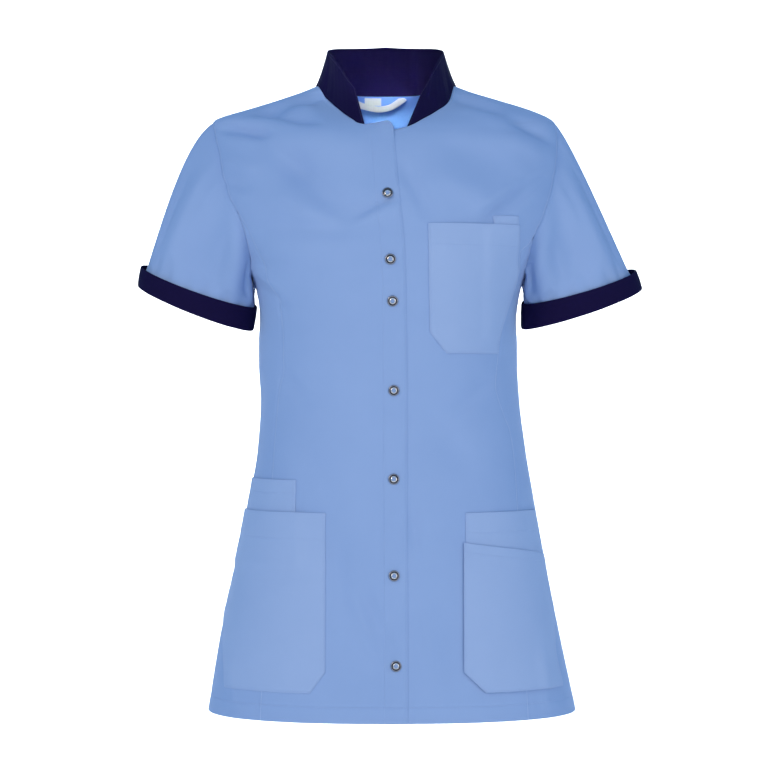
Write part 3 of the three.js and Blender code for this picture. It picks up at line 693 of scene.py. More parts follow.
def raise_face(look, height, strength, distance):
    """Fine relief from a height, its distance in metres."""
    nodes, links = look.node_tree.nodes, look.node_tree.links
    raised = nodes.new("ShaderNodeBump")
    raised.inputs["Strength"].default_value = strength
    raised.inputs["Distance"].default_value = distance
    links.new(height, raised.inputs["Height"])
    links.new(raised.outputs["Normal"], nodes["Principled BSDF"].inputs["Normal"])


def cloth_look(name, base, shade, thread=0.55, bump=0.25, sheen=0.1, shine=0.25):
    """Woven cloth: a base colour, and a darker one painted as shade into the weave's low parts and mixed in
    as uneven tone, with a little sheen.
    """
    look, nodes, links = new_look(name)
    weave = nodes.new("ShaderNodeGroup")
    weave.node_tree = WEAVE
    weave.inputs["Thread"].default_value = thread
    weave.inputs["Base"].default_value = (*base, 1)
    weave.inputs["Shade"].default_value = (*shade, 1)
    bsdf = shader(look, Sheen_Weight=sheen, Sheen_Roughness=0.5, Specular_IOR_Level=shine)
    links.new(weave.outputs["Colour"], bsdf.inputs["Base Color"])
    links.new(weave.outputs["Roughness"], bsdf.inputs["Roughness"])
    raise_face(look, weave.outputs["Height"], bump, 0.0003)
    return look


def grain_look(name, base, low, high, scale, metal=0.0, sheen=0.0, bump=0.0):
    """Fine noise that varies the colour and the roughness, for thread and metal."""
    look, nodes, links = new_look(name)
    where = nodes.new("ShaderNodeTexCoord")
    grain = nodes.new("ShaderNodeTexNoise")
    grain.inputs["Scale"].default_value = scale
    grain.inputs["Detail"].default_value = 4
    links.new(where.outputs["Object"], grain.inputs["Vector"])
    rough = nodes.new("ShaderNodeMapRange")
    rough.inputs["To Min"].default_value = low
    rough.inputs["To Max"].default_value = high
    links.new(grain.outputs["Fac"], rough.inputs["Value"])
    tint = nodes.new("ShaderNodeMix")
    tint.data_type = "RGBA"
    tint.inputs[6].default_value = (*[c * 0.86 for c in base], 1)
    tint.inputs[7].default_value = (*[min(1, c * 1.12) for c in base], 1)
    links.new(grain.outputs["Fac"], tint.inputs[0])
    bsdf = shader(look, Metallic=metal, Sheen_Weight=sheen)
    links.new(tint.outputs[2], bsdf.inputs["Base Color"])
    links.new(rough.outputs["Result"], bsdf.inputs["Roughness"])
    if bump:
        raise_face(look, grain.outputs["Fac"], bump, 0.0002)
    return look


BLUE = cloth_look("blue_cloth", (0.291, 0.423, 0.720), (0.238, 0.362, 0.651))
# Deeper, more saturated blue for the back's inner faces: painted shade and painted blue bounce light inside
# the neck, not a colour of the cloth.
INNER_SHADE_BLUE = cloth_look("blue_cloth_inner_painted_shade", (0.205, 0.430, 1.0), (0.168, 0.363, 0.96))
# Pocket cloth painted lighter than the body cloth: painted light for the lighter tone the patch pockets take.
POCKET_LIT_BLUE = cloth_look("blue_pocket_cloth_painted_light", (0.340, 0.466, 0.747), (0.280, 0.400, 0.678))
NAVY = cloth_look("navy_cloth", (0.0070, 0.0040, 0.043), (0.0048, 0.0028, 0.032), bump=0.3, sheen=0.0,
                  shine=0.1)
WHITE = cloth_look("white_tape", (0.80, 0.83, 0.88), (0.70, 0.74, 0.82), thread=0.9, bump=0.5)
# Thread colours: the blue seam thread is painted much lighter than the cloth as a painted highlight along the
# seams, and the faint thread a little lighter than the cloth to offset the stitches' own shade.
SEAM_HIGHLIGHT_THREAD = grain_look("blue_thread", (0.460, 0.600, 0.840), 0.6, 0.8, 2400, sheen=0.1, bump=0.4)
FAINT_THREAD = grain_look("faint_blue_thread", (0.305, 0.440, 0.735), 0.6, 0.8, 2400, sheen=0.1, bump=0.4)
NAVY_THREAD = grain_look("navy_thread", (0.010, 0.007, 0.055), 0.6, 0.8, 2400, bump=0.4)
# Snap ring metals: the rim's nickel is darkened as a painted dark reflection, the groove is nearly black as
# painted shade, and the inner lip is bright as a painted highlight.
STEEL = grain_look("nickel_ring", (0.27, 0.29, 0.36), 0.2, 0.36, 700, metal=1.0)
GROOVE_SHADE_STEEL = grain_look("nickel_groove_painted_shade", (0.045, 0.046, 0.06), 0.3, 0.5, 700, metal=1.0)
LIP_HIGHLIGHT_STEEL = grain_look("nickel_inner_lip_painted_highlight", (0.74, 0.75, 0.78), 0.12, 0.26, 700, metal=1.0)

# Heights where the grid of the body has a row of its own
BODY_ROWS = [SHOULDER_Z, -49.5, -51.5, -53.2, -53.5, -53.8, -54.2, -54.6, -55, -56.5, -58, -60, -62, -66,
             UNDERARM_Z, -224, -222.5, -221, -220, -219, -217, -215, -213,
             *[HEM_Z + HEM_DEPTH + f for f in (-2, -1, 0, 1, 2)]]


def panel_grid(first, last, z, count):
    """Turns and heights of a panel's grid, and the distance of each point from the panel's two long edges."""
    turns = column_turns(first, last, z, count)
    grid_z = z[:, None] + 0 * turns
    return turns, grid_z, *lengths(ring_point(turns, grid_z))


def body_panel(name, turns, z, out, thick=CLOTH, lift=0.0):
    """Panel of the body surface; its hem is thicker, turned and sewn."""
    stitches = HEM_Z + HEM_DEPTH
    grid_z = z[:, None] + 0 * turns
    out = out + hem_shape(ring_point(turns, grid_z)[..., 0], grid_z, turns[0, 0])
    depth = thick + HEM_EXTRA * (1 - smooth_step(grid_z, stitches, stitches + 1.5))
    points = body_point(turns, grid_z, out)
    points[..., 2] += lift
    normal = ring_normal(turns, grid_z)
    piece = shell(name, points, normal, BLUE, depth, uv=cloth_uv(points))
    sew(points, normal, FAINT_THREAD, np.s_[int(np.argmin(np.abs(z - stitches)))])
    return piece, points, normal


# Front panels

def lap_lift(x, z):
    """The right front rises by one layer before it reaches the left front's free edge."""
    lap = EDGE_X(np.minimum(z, EDGE_TOP))
    return (CLOTH + LAYER) * smooth_step(x, lap - FRONT_LAP - 20, lap - FRONT_LAP - 1.5)


def corner_lift(x, z):
    """The neck corner of the right front stands a little higher, so the edge runs level up to it."""
    return 5.0 * smooth_step(x, -23, 2) * smooth_step(z, -70, -54)


def front_right():
    """Right centre front, with the upper layer of the lap and a row of stitches along its placket."""
    z = row_heights(HEM_Z, NECK_Z, BODY_ROWS + [PRINCESS_TOP[-1]])
    edge = np.where(z >= EDGE_TOP, NECK_X[-1](z), EDGE_X(z))
    outer = panel_turn(-1, z)
    turns, grid_z, first, last = panel_grid(turn_at(edge, z), outer + seam_turn(outer, z), z, 44)
    x = ring_point(turns, grid_z)[..., 0]
    placket = np.abs(first - PLACKET)
    band = np.where(grid_z < -62, -0.06 * hump(placket, 1.5), 0)
    roll = np.where(grid_z > PRINCESS_TOP[-1], 0.2, long_seam(grid_z))
    shape = (seam_shape(first, grid_z, roll=0.25, ridge=0.12, pucker=0.12) + lap_lift(x, grid_z) + band
             + seam_shape(last, grid_z, roll=roll, ridge=0.2, phase=1.0))
    pressed = hump(first, 2.6) * smooth_step(-grid_z, 62, 80)
    piece, points, normal = body_panel("front_right_cloth", turns, z, shape - 0.75 * pressed,
                                       thick=CLOTH - 0.55 * pressed, lift=corner_lift(x, grid_z))
    sew(points, normal, FAINT_THREAD, np.s_[:, BEGIN])
    sew(points, normal, SEAM_HIGHLIGHT_THREAD, np.s_[:, END])
    low = z[z < -64]
    line = turn_at(EDGE_X(low) - PLACKET, low)
    at = ring_point(line, low)[..., 0]
    place = body_point(line, low, lap_lift(at, low) + 0.02)
    sew(place, ring_normal(line, low), FAINT_THREAD, lift=0)
    return piece


def front_left():
    """Left centre front, its free edge hidden under the right one."""
    z = row_heights(HEM_Z, NECK_Z, BODY_ROWS + [PRINCESS_TOP[1]])
    edge = np.where(z >= EDGE_TOP, NECK_X[1](z), EDGE_X(z) - FRONT_LAP)
    outer = panel_turn(1, z)
    turns, grid_z, first, last = panel_grid(turn_at(edge, z), outer - seam_turn(outer, z), z, 44)
    roll = np.where(grid_z > PRINCESS_TOP[1], 0.2, long_seam(grid_z))
    shape = seam_shape(first, grid_z, ridge=0.2) + seam_shape(last, grid_z, roll=roll, ridge=0.2, phase=2.0)
    piece, points, normal = body_panel("front_left_cloth", turns, z, shape)
    top = z > -61
    sew(points, normal, SEAM_HIGHLIGHT_THREAD, np.s_[top, BEGIN])
    sew(points, normal, SEAM_HIGHLIGHT_THREAD, np.s_[:, END])
    return piece


def side_front(name, side):
    """Side panel of the front, from the long seam to the armhole and the side seam."""
    z = row_heights(HEM_Z, PRINCESS_TOP[side] - 4, BODY_ROWS)
    near, far = panel_turn(side, z), outer_turn(side, z)
    shift = side * seam_turn(far, z)
    end = far - np.where(z > UNDERARM_Z, 0, shift)
    turns, grid_z, first, last = panel_grid(near + shift, end, z, 22)
    armhole = np.where(grid_z > UNDERARM_Z, ARMHOLE_RIDGE, 0.0)
    shape = (seam_shape(first, grid_z, roll=long_seam(grid_z), phase=0.5)
             + seam_shape(last, grid_z, ridge=armhole, phase=2.5))
    piece, points, normal = body_panel(name, turns, z, shape)
    top = z > UNDERARM_Z - 1
    sew(points, normal, SEAM_HIGHLIGHT_THREAD, np.s_[top, END])
    return piece


def neck_drop(x, z=NECK_Z):
    """The back neck seam lies a little lower in the middle than at the shoulders."""
    return -NECK_DROP * (1 - smooth_step(np.abs(x), 28, 74)) * smooth_step(z, NECK_DROP_FOOT, NECK_Z)


def back_panel():
    """Middle panel of the back, from its right seam round to its left seam."""
    z = row_heights(HEM_Z, NECK_Z, BODY_ROWS + [BACK_SEAM_TOP])
    limits = []
    for side in (1, -1):
        raw = back_turn(side, z)
        limits.append(raw + np.where((z > BACK_SEAM_TOP) & (z < SHOULDER_Z), 0, side * seam_turn(raw, z)))
    turns, grid_z, first, last = panel_grid(limits[0], limits[1] + 2 * math.pi, z, 84)
    shape = seam_shape(first, grid_z, ridge=0.3, phase=0.2) + seam_shape(last, grid_z, ridge=0.3, phase=1.4)
    drop = neck_drop(ring_point(turns, grid_z)[..., 0], grid_z)
    piece, points, normal = body_panel("back_cloth", turns, z, shape, lift=drop)
    # The inner faces of the back take the blue with painted shade and bounce light.
    piece.data.materials.append(INNER_SHADE_BLUE)
    faces = (turns.shape[0] - 1) * (turns.shape[1] - 1)
    look = np.arange(len(piece.data.polygons)) // faces == 1
    piece.data.polygons.foreach_set("material_index", look.astype(np.int32))
    for column in (BEGIN, END):
        sew(points, normal, SEAM_HIGHLIGHT_THREAD, np.s_[:, column])
    row = int(np.argmin(np.abs(z - (NECK_Z - 1.8))))
    sew(points, normal, SEAM_HIGHLIGHT_THREAD, np.s_[row, 4:-4])
    return piece


def side_back(name, side):
    """Side panel of the back, from the long seam to the armhole and the side seam."""
    z = row_heights(HEM_Z, BACK_SEAM_TOP - 4, BODY_ROWS)
    near, far = back_turn(side, z), outer_turn(side, z, True)
    inset = np.where(z > UNDERARM_Z, 0, side * seam_turn(far, z))
    turns, grid_z, first, last = panel_grid(near - side * seam_turn(near, z), far + inset, z, 22)
    armhole = np.where(grid_z > UNDERARM_Z, ARMHOLE_RIDGE, 0.0)
    shape = seam_shape(first, grid_z, phase=0.9) + seam_shape(last, grid_z, ridge=armhole, phase=1.9)
    piece, points, normal = body_panel(name, turns, z, shape)
    top = z > UNDERARM_Z - 1
    sew(points, normal, SEAM_HIGHLIGHT_THREAD, np.s_[top, END])
    return piece


# Sleeves and cuffs

def armhole_loop(side, count=56):
    """Armhole curve, shoulder point first, down the front and up the back, evenly spaced."""
    z = np.concatenate([np.linspace(SHOULDER_Z, -215, 400), np.linspace(-215, UNDERARM_Z, 300)[1:]])
    turns, heights, parts = [], [], []
    for k, (t, h) in enumerate(((outer_turn(side, z), z), (outer_turn(side, z, True)[::-1], z[::-1]))):
        p = ring_point(t, h)
        step = run_length(p)
        want = np.linspace(0, step[-1], count + 1)[:-1]
        turns.append(np.interp(want, step, t))
        heights.append(np.interp(want, step, h))
        parts.append(k + want / step[-1])
    turn, height = np.concatenate(turns), np.concatenate(heights)
    place = body_point(turn, height)
    normal = ring_normal(turn, height)
    along = unit(np.roll(place, -1, 0) - np.roll(place, 1, 0))
    away = unit(np.cross(along, normal))
    flip = np.sum(away * (place.mean(0) - place), -1) < 0
    away[flip] *= -1
    return {"place": place, "normal": normal, "away": away, "angle": math.pi * np.concatenate(parts)}


def cuff_edge(side, which, depth):
    """Middle of an edge of the sleeve or cuff, and its wide and deep half axes."""
    (xo, zo), (xi, zi) = SLEEVES[side][which]
    outer = np.array([side * xo, CUFF_Y, zo], float)
    inner = np.array([side * xi, CUFF_Y, zi], float)
    return (outer + inner) / 2, (outer - inner) / 2, np.array([0, -depth, -CUFF_DIP], float)


def cuff_point(edge, angle, out=0.0):
    """Ellipse: middle + wide axis * cos + deep axis * sin, both axes longer by the distance out."""
    middle, wide, deep = edge
    out = np.asarray(out, float)[..., None]
    w = wide * (1 + out / np.linalg.norm(wide))
    d = deep * (1 + out / np.linalg.norm(deep))
    return middle + w * np.cos(angle)[..., None] + d * np.sin(angle)[..., None]


def sleeve_surface(side, start, angle, t):
    """Cubic from the armhole to the sleeve's edge, leaving sideways at the top and down at the underarm."""
    cut = SLEEVES[side]
    s, c = np.sin(angle), np.cos(angle)
    top, low, flank = np.clip(c, 0, 1) ** 2, np.clip(-c, 0, 1) ** 2, s * s
    leave = np.stack([side * (cut["leave"][0] * top + 62 * flank + 3 * low), -14 * np.sign(s) * flank,
                      -(cut["leave"][1] * top + 46 * flank + 30 * low)], -1)
    axis = np.array([side * cut["axis"][0], 0, -cut["axis"][1]])
    arrive = axis * (cut["hang"] * top + 125 * flank + 38 * low)[:, None]
    end = cuff_point(cuff_edge(side, "end", SLEEVE_DEPTH), angle)
    t = t[:, None, None]
    return (start * (1 + 2 * t) * (1 - t) ** 2 + leave * t * (1 - t) ** 2
            + end * t * t * (3 - 2 * t) + arrive * t * t * (t - 1))


def sleeve_folds(angle, t):
    """Ridges along the sleeve, height * exp(-(turn/width)^2 - (along/length)^4), less the cuff dents."""
    degrees = np.degrees(angle)[None, :]
    total = np.zeros((len(t), len(angle)))
    for turn, along, width, length, height in SLEEVE_FOLDS["rows"]:
        total += height * np.exp(-(((degrees - turn) / width) ** 2) - ((t[:, None] - along) / length) ** 4)
    total *= SLEEVE_FOLD_DEPTH * smooth_step(1 - t, 0.02, 0.2)[:, None]
    near_cuff = DENT_DEPTH * smooth_step(t, 0.74, 0.97)[:, None]
    for turn, width, depth in CUFF_DENTS:
        total -= depth * hump(degrees - turn, width) * near_cuff
    return total


def cuff_wave(angle, side):
    """Slow waves around a cuff: 0.35 * sin(5 turns) + 0.25 * sin(9 turns)."""
    return 0.35 * np.sin(5 * angle + side) + 0.25 * np.sin(9 * angle + 2)


def tube_normals(grid):
    """Outward normals of a grid that closes around."""
    across = np.roll(grid, -1, 1) - np.roll(grid, 1, 1)
    normal = unit(np.cross(across, np.gradient(grid, axis=0)))
    flip = np.sum(normal * (grid - grid.mean(1, keepdims=True)), -1) < 0
    normal[flip] *= -1
    return normal


def sleeve(name, side):
    """Sleeve from the armhole to its own edge, and on to the cuff's inner face near the cuff's foot."""
    loop = armhole_loop(side)
    t = np.concatenate([[0, 0.003, 0.008, 0.016, 0.028, 0.045], np.linspace(0.06, 0.97, 54), [0.98, 0.99, 1]])
    seam = sleeve_surface(side, loop["place"], loop["angle"], t[:2])
    turn = (loop["normal"] - tube_normals(seam)[0]) * 1.5 + loop["away"]
    start = loop["place"] + unit(turn) * SEAM_GAP * 0.4
    grid = sleeve_surface(side, start, loop["angle"], t)
    normal = tube_normals(grid)
    distance = SLEEVE_LENGTH * t[:, None] + 0 * loop["angle"]
    around = np.broadcast_to(np.arange(len(loop["angle"])) * GRID, distance.shape)
    lift = sleeve_folds(loop["angle"], t) * smooth_step(t, 0, 0.08)[:, None]
    lift = lift - 0.15 * hump(distance, 1.4) + 0.25 * ripple(around, 0.4) * hump(distance, 9)
    grid = grid + normal * (lift * smooth_step(distance, -0.1, 0.6))[..., None]
    inside = 0.65 * cuff_wave(loop["angle"], side) - 1.75
    foot = cuff_point(cuff_edge(side, "bottom", CUFF_DEPTH), loop["angle"], inside)
    down = np.array([0.08, 0.2, 0.35, 0.5, 0.65, 0.8, 0.9])[:, None, None]
    grid = np.concatenate([grid, mix(grid[-1][None], foot[None], down)])
    normal = tube_normals(grid)
    along, _ = lengths(grid.transpose(1, 0, 2))
    uv = np.stack([np.broadcast_to(around[:1], grid.shape[:2]), along.T], -1)
    return shell(name, grid, normal, BLUE, around=True, uv=uv)


def cuff(name, side):
    """Turned band, a little fuller in the middle, its edges rounded by the fold."""
    angle = np.linspace(0, 2 * math.pi, CUFF_SEGMENTS, endpoint=False)
    upper = cuff_edge(side, "top", CUFF_DEPTH)
    lower = cuff_edge(side, "bottom", CUFF_DEPTH)
    t = np.array([0, 0.012, 0.03, 0.07, 0.14, 0.24, 0.36, 0.48, 0.6, 0.72, 0.83, 0.91, 0.96, 0.985, 1])
    t = t[:, None]
    out = 0.5 * np.sin(math.pi * t) - 0.5 * hump(t, 0.03) - 0.4 * hump(1 - t, 0.03)
    out = out + cuff_wave(angle, side)[None, :] * (0.25 + 0.5 * t) + 0.2
    a = cuff_point(upper, angle + 0 * t, out)
    b = cuff_point(lower, angle + 0 * t, out)
    grid = mix(a, b, t[..., None])
    around = np.broadcast_to(np.arange(CUFF_SEGMENTS) * CUFF_STEP, (len(t), CUFF_SEGMENTS))
    uv = np.stack([around, CUFF_HEIGHT * t + 0 * around], -1)
    return shell(name, grid, tube_normals(grid), NAVY, thick=CUFF_THICK, around=True, uv=uv)


# Collar

def collar():
    """Stand collar: each point of the neck edge rises to its own point of the top edge."""
    count = 64
    neck = []
    for side, low in ((-1, -53.2), (1, -55.0)):
        z = np.linspace(low, NECK_Z, 300)
        turn = turn_at(NECK_X[side](z), z)
        p = ring_point(turn, z)
        step = run_length(p)
        near = np.array([0.0, 0.5, 1.2, 2.2, 3.4])
        want = np.concatenate([near, np.linspace(near[-1], step[-1], count)[1:]])
        neck.append((np.interp(want, step, turn), np.interp(want, step, z)))
    around = np.linspace(-math.pi / 2, -1.5 * math.pi, 100)[1:-1]
    turn = np.concatenate([neck[0][0], around, neck[1][0][::-1] - 2 * math.pi])
    height = np.concatenate([neck[0][1], np.full(98, NECK_Z), neck[1][1][::-1]])
    base = body_point(turn, height)
    base[:, 2] += np.where(base[:, 1] > 0, neck_drop(base[:, 0]), 0)
    side = np.where(base[:, 0] < 0, -1, 1)
    at = np.degrees(np.arctan2(np.abs(base[:, 0]), COLLAR_CENTRE - base[:, 1]))
    top = np.zeros_like(base)
    for s in (-1, 1):
        pick = side == s
        turned = np.radians(smooth_curve(COLLAR[s], 1)(at[pick]))
        reach = smooth_curve(COLLAR[s], 2)(at[pick])
        top[pick, 0] = s * reach * np.sin(turned)
        top[pick, 1] = COLLAR_CENTRE - reach * np.cos(turned)
        top[pick, 2] = smooth_curve(COLLAR[s], 3)(at[pick])
    along = unit(np.gradient(base, axis=0))
    rise = unit(top - base)
    normal = unit(np.cross(rise, along))
    t = np.array([0, 0.008, 0.02, 0.05, 0.1, 0.18, 0.28, 0.4, 0.52, 0.64, 0.75, 0.84, 0.9, 0.945, 0.97,
                  0.988, 1])
    foot = base + rise * 0.12
    grid = foot[None] + (top - foot)[None] * t[:, None, None]
    step = run_length(base)
    end = np.minimum(step, step[-1] - step)[None, :]
    tall = np.linalg.norm(top - foot, axis=-1)[None, :]
    up, down = t[:, None] * tall, (1 - t[:, None]) * tall
    bulge = -0.9 * np.sin(math.pi * t)[:, None] + 0.12 * ripple(step, 0.3)[None, :]
    bulge = bulge + 0.5 * hump(up, 6.0)
    bulge = bulge - 0.35 * hump(up, 1.0) - 0.3 * hump(down, 0.8)
    bulge = bulge - 0.3 * hump(end, 0.8) - 0.18 * hump(down - 2.4, 0.9)
    grid = grid + normal[None] * bulge[..., None]
    face = unit(np.cross(np.gradient(grid, axis=0), np.gradient(grid, axis=1)))
    face = np.where(np.sum(face * normal[None], -1, keepdims=True) < 0, -face, face)
    piece = shell("collar_cloth", grid, face, NAVY, thick=COLLAR_THICK, uv=cloth_uv(grid))
    sew(grid, face, NAVY_THREAD, np.s_[13, BETWEEN])
    for column in (BEGIN, END):
        sew(grid, face, NAVY_THREAD, np.s_[2:14, column])
    return piece


# Pockets

def pocket(name, size, breaks, first, last, out, gape=1.0, slope=0.0):
    """Patch pocket just outside the panels: sewn at its sides and foot, hemmed, standing off at the mouth."""
    low, high, mouth = size
    z = row_heights(low, high, breaks)
    turns = column_turns(first(z), last(z), z, 34)
    part = (turns - turns[:, :1]) / (turns[:, -1:] - turns[:, :1])
    grid_z = z[:, None] + 0 * turns
    if slope:
        grid_z = z[0] + (grid_z - z[0]) * (1 - part * slope / (z[-1] - z[0]))
    begin, end = lengths(ring_point(turns, grid_z))
    below = z[-1] - slope * part - grid_z
    foot = grid_z - z[0]
    x = ring_point(turns, grid_z)[..., 0]
    shape = (seam_shape(begin, grid_z, ridge=0.25, pucker=0.22, phase=1.1)
             + seam_shape(end, grid_z, pucker=0.14)
             - 0.35 * hump(foot, 1.0) - 0.2 * hump(foot - STITCH_IN, 0.8)
             + 0.18 * ripple(x, 0.8) * hump(foot, 7))
    turned = 1 - smooth_step(below, mouth - 0.5, mouth + 1.0)
    hem = 0.12 * turned - 0.12 * hump(below - mouth, 1.1)
    hem = hem + 0.22 * ripple(x, 2.1) * hump(below - mouth, 7)
    stand = gape * np.sin(math.pi * np.clip(part, 0, 1)) ** 0.8 * hump(below, 0.9 * mouth)
    full = 0.5 * np.sin(math.pi * part) * np.sin(math.pi * np.clip(foot / (z[-1] - z[0]), 0, 1))
    shape = shape + hem + stand + full + out(x, grid_z) + CLOTH
    points = body_point(turns, grid_z, shape)
    normal = ring_normal(turns, grid_z)
    # The pockets take the blue that is painted lighter as painted light.
    piece = shell(name, points, normal, POCKET_LIT_BLUE, CLOTH + POCKET_HEM_EXTRA * turned, uv=cloth_uv(points))
    row = int(np.argmin(np.abs(below[:, 0] - mouth)))
    foot_row = int(np.argmin(np.abs(foot[:, 0] - STITCH_IN)))
    sew(points, normal, FAINT_THREAD, np.s_[row, BETWEEN], lift=0)
    sew(points, normal, FAINT_THREAD, np.s_[foot_row, BETWEEN])
    for column in (BEGIN, END):
        sew(points, normal, FAINT_THREAD, np.s_[foot_row:, column])
    return piece


def cut_corner(z, corner):
    """How far a height lies between the start of a cut corner, 0, and its end, 1."""
    start, end = corner
    return np.clip((z - start) / (end - start), 0, 1)


def one_layer(x, z):
    """Gap between a pocket and the panel under it, the same everywhere."""
    return LAYER + 0 * x


def slanted_side(z):
    """Outer edge of the right hip pocket: it leaves the side towards the foot."""
    inset = 0.3 + 18 * np.clip((-625 - z) / 79, 0, 1)
    return turn_at(-(RING["left"](z) - inset), z)


def pocket_end(z):
    """Outer edge of the left hip pocket: three fifths of the way round the side panel."""
    inset = 0.5 + 12.5 * smooth_step(-z, 590, 665)
    return np.minimum(mix(panel_turn(1, z), outer_turn(1, z), 0.6), turn_at(RING["right"](z) - inset, z))


def hip_pocket_right():
    rise = CLOTH + LAYER + 0.4
    return pocket("hip_pocket_right_cloth", HIP_RIGHT, (-680.0, -530.0),
                  lambda h: turn_at(-mix(69.5, 87, cut_corner(h, FOOT_CORNER)), h), slanted_side,
                  lambda x, h: LAYER + rise * smooth_step(-x, 90, 103) * smooth_step(h, -570, -557))


def small_pocket_right():
    return pocket("small_pocket_right_cloth", SMALL_RIGHT, (-478.0,),
                  lambda h: turn_at(-104.0 + 0 * h, h), lambda h: turn_at(-RING["left"](h) * 0.9985, h),
                  one_layer, gape=0.5)


def hip_pocket_left():
    return pocket("hip_pocket_left_cloth", HIP_LEFT, (-680.0, -530.0),
                  lambda h: turn_at(mix(91, 116, cut_corner(h, FOOT_CORNER)), h), pocket_end,
                  one_layer, gape=0.9)


def hip_pocket_left_front():
    return pocket("hip_pocket_left_front_cloth", HIP_LEFT_FRONT, (-680.0,),
                  lambda h: turn_at(mix(88.5, 113.5, cut_corner(h, FOOT_CORNER)), h), pocket_end,
                  lambda x, h: 2 * LAYER + CLOTH + 0.35, gape=0.9, slope=18.0)


def chest_pocket():
    rise = CLOTH + LAYER + 0.4

    def inner_edge(h):
        straight = mix(48, 50, cut_corner(h, (CHEST[1], CHEST_CORNER[0])))
        return turn_at(mix(straight, 69, cut_corner(h, CHEST_CORNER)), h)

    return pocket("chest_pocket_cloth", CHEST, (-293.0, -297.0, -193.0), inner_edge,
                  lambda h: turn_at(CHEST_X(h), h),
                  lambda x, h: LAYER + rise * smooth_step(x, 108, 120) * smooth_step(h, -304, -290))


def pen_pocket():
    return pocket("pen_pocket_cloth", PEN, (-174.0,),
                  lambda h: turn_at(124.0 + 0 * h, h), lambda h: turn_at(CHEST_X(h), h),
                  one_layer, gape=0.4)


# Small pieces

def lathe(name, profile, centre, axis, look, count=SNAP_SEGMENTS):
    """Profile of (radius, height) turned around the axis."""
    profile = np.array(profile, float)
    axis = unit(np.array(axis, float))
    side = unit(np.cross(axis, [0, 0, 1.0]))
    other = np.cross(axis, side)
    a = np.linspace(0, 2 * math.pi, count, endpoint=False)
    ring = side * np.cos(a)[:, None] + other * np.sin(a)[:, None]
    points = centre + profile[:, None, :1] * ring[None] + profile[:, None, 1:] * axis
    index = np.arange(len(profile) * count).reshape(len(profile), count)
    up = np.roll(index, -1, 0)
    quads = np.stack([index, np.roll(index, -1, 1), np.roll(up, -1, 1), up], -1).reshape(-1, 4)
    return new_piece(name, points.reshape(-1, 3), quads, look)


def snap(number, z, x):
    """Pressed ring: a rounded rim that slopes down to a low inner lip around the open middle."""
    r, h = SNAP_DIAMETER / 2, SNAP_HOLE / 2
    profile = [(h, 0.1), (r - 0.5, 0.0), (r - 0.1, 0.25), (r, 0.7), (r - 0.2, 1.2), (r - 0.7, 1.55),
               (r - 1.2, 1.6), (r - 1.7, 1.35), (r - 2.1, 0.95), (h + 1.0, 0.5), (h + 0.7, 0.75),
               (h + 0.35, 1.0), (h + 0.05, 0.95), (h, 0.6)]
    turn = np.array(float(turn_at(x, z)))
    height = np.array(float(z))
    centre = body_point(turn, height, CLOTH + LAYER + 0.15)
    piece = lathe(f"snap_ring_{number}", profile, centre, ring_normal(turn, height), STEEL)
    piece.data.materials.append(GROOVE_SHADE_STEEL)
    piece.data.materials.append(LIP_HIGHLIGHT_STEEL)
    # The slope down into the groove takes the metal painted nearly black as shade, and the inner lip the
    # metal painted bright as a highlight.
    look = np.repeat([0, 0, 0, 0, 0, 0, 1, 1, 1, 2, 2, 2, 2, 0], SNAP_SEGMENTS)
    piece.data.polygons.foreach_set("material_index", look.astype(np.int32))
    return piece


def back_turns(x, z):
    """Turns of the back surface, without a jump at its middle."""
    turns = turn_at(x, z, True)
    return np.where(turns < 0, turns + 2 * math.pi, turns)


def inside_back(turns, z, off):
    """Place on the inside of the back neck, which lies lower in the middle."""
    points = body_point(turns, z, -CLOTH - off)
    points[..., 2] += neck_drop(points[..., 0], z)
    return points


def hanger_loop():
    """Flat tape that sags between its two sewn ends inside the back neck."""
    x = np.linspace(-46, 23, 64)
    height, off = smooth_curve(TAPE, 1), smooth_curve(TAPE, 2)
    slope = (height(x + 1) - height(x - 1)) / 2
    scale = 1 / np.hypot(1, slope)
    side = np.array([-1, -0.92, -0.6, 0, 0.6, 0.92, 1])[:, None] * TAPE_WIDTH / 2
    px = x - side * slope * scale
    pz = np.minimum(-0.4, height(x) + side * scale)
    turns = back_turns(px, pz)
    points = inside_back(turns, pz, off(x) + 0.35)
    normal = ring_normal(turns, pz)
    return shell("hanger_loop_tape", points, normal, WHITE, thick=0.7, uv=cloth_uv(points))


def neck_label():
    """Small blank label, its top edge sewn in at the neck seam."""
    x = np.linspace(*LABEL_ENDS, 24)
    z = np.array([-9.8, -9.7, -9.3, -8, -6.5, -5, -3.2, -1.4, -0.4])[:, None] + 0 * x
    turns = back_turns(x + 0 * z, z)
    points = inside_back(turns, z, 0.75)
    return shell("neck_label_tape", points, ring_normal(turns, z), WHITE, thick=0.4, uv=cloth_uv(points))


def make(node, piece):
    """Hide the node's imported part, and gather the kept runs of stitches into one piece for each kind of
    thread; the piece is not used here.
    """
    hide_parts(node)
    for label, look in (("blue", SEAM_HIGHLIGHT_THREAD), ("faint", FAINT_THREAD), ("navy", NAVY_THREAD)):
        runs = [(points, normal) for points, normal, kind in RUNS if kind is look]
        if runs:
            stitches = stitch_piece(f"{node}_{label}_stitches", runs, look)
    RUNS.clear()


def make_both(kind, build):
    """Right and left pieces of one kind."""
    for side, hand in ((-1, "right"), (1, "left")):
        make(f"{kind}_{hand}", build(f"{kind}_{hand}_cloth", side))


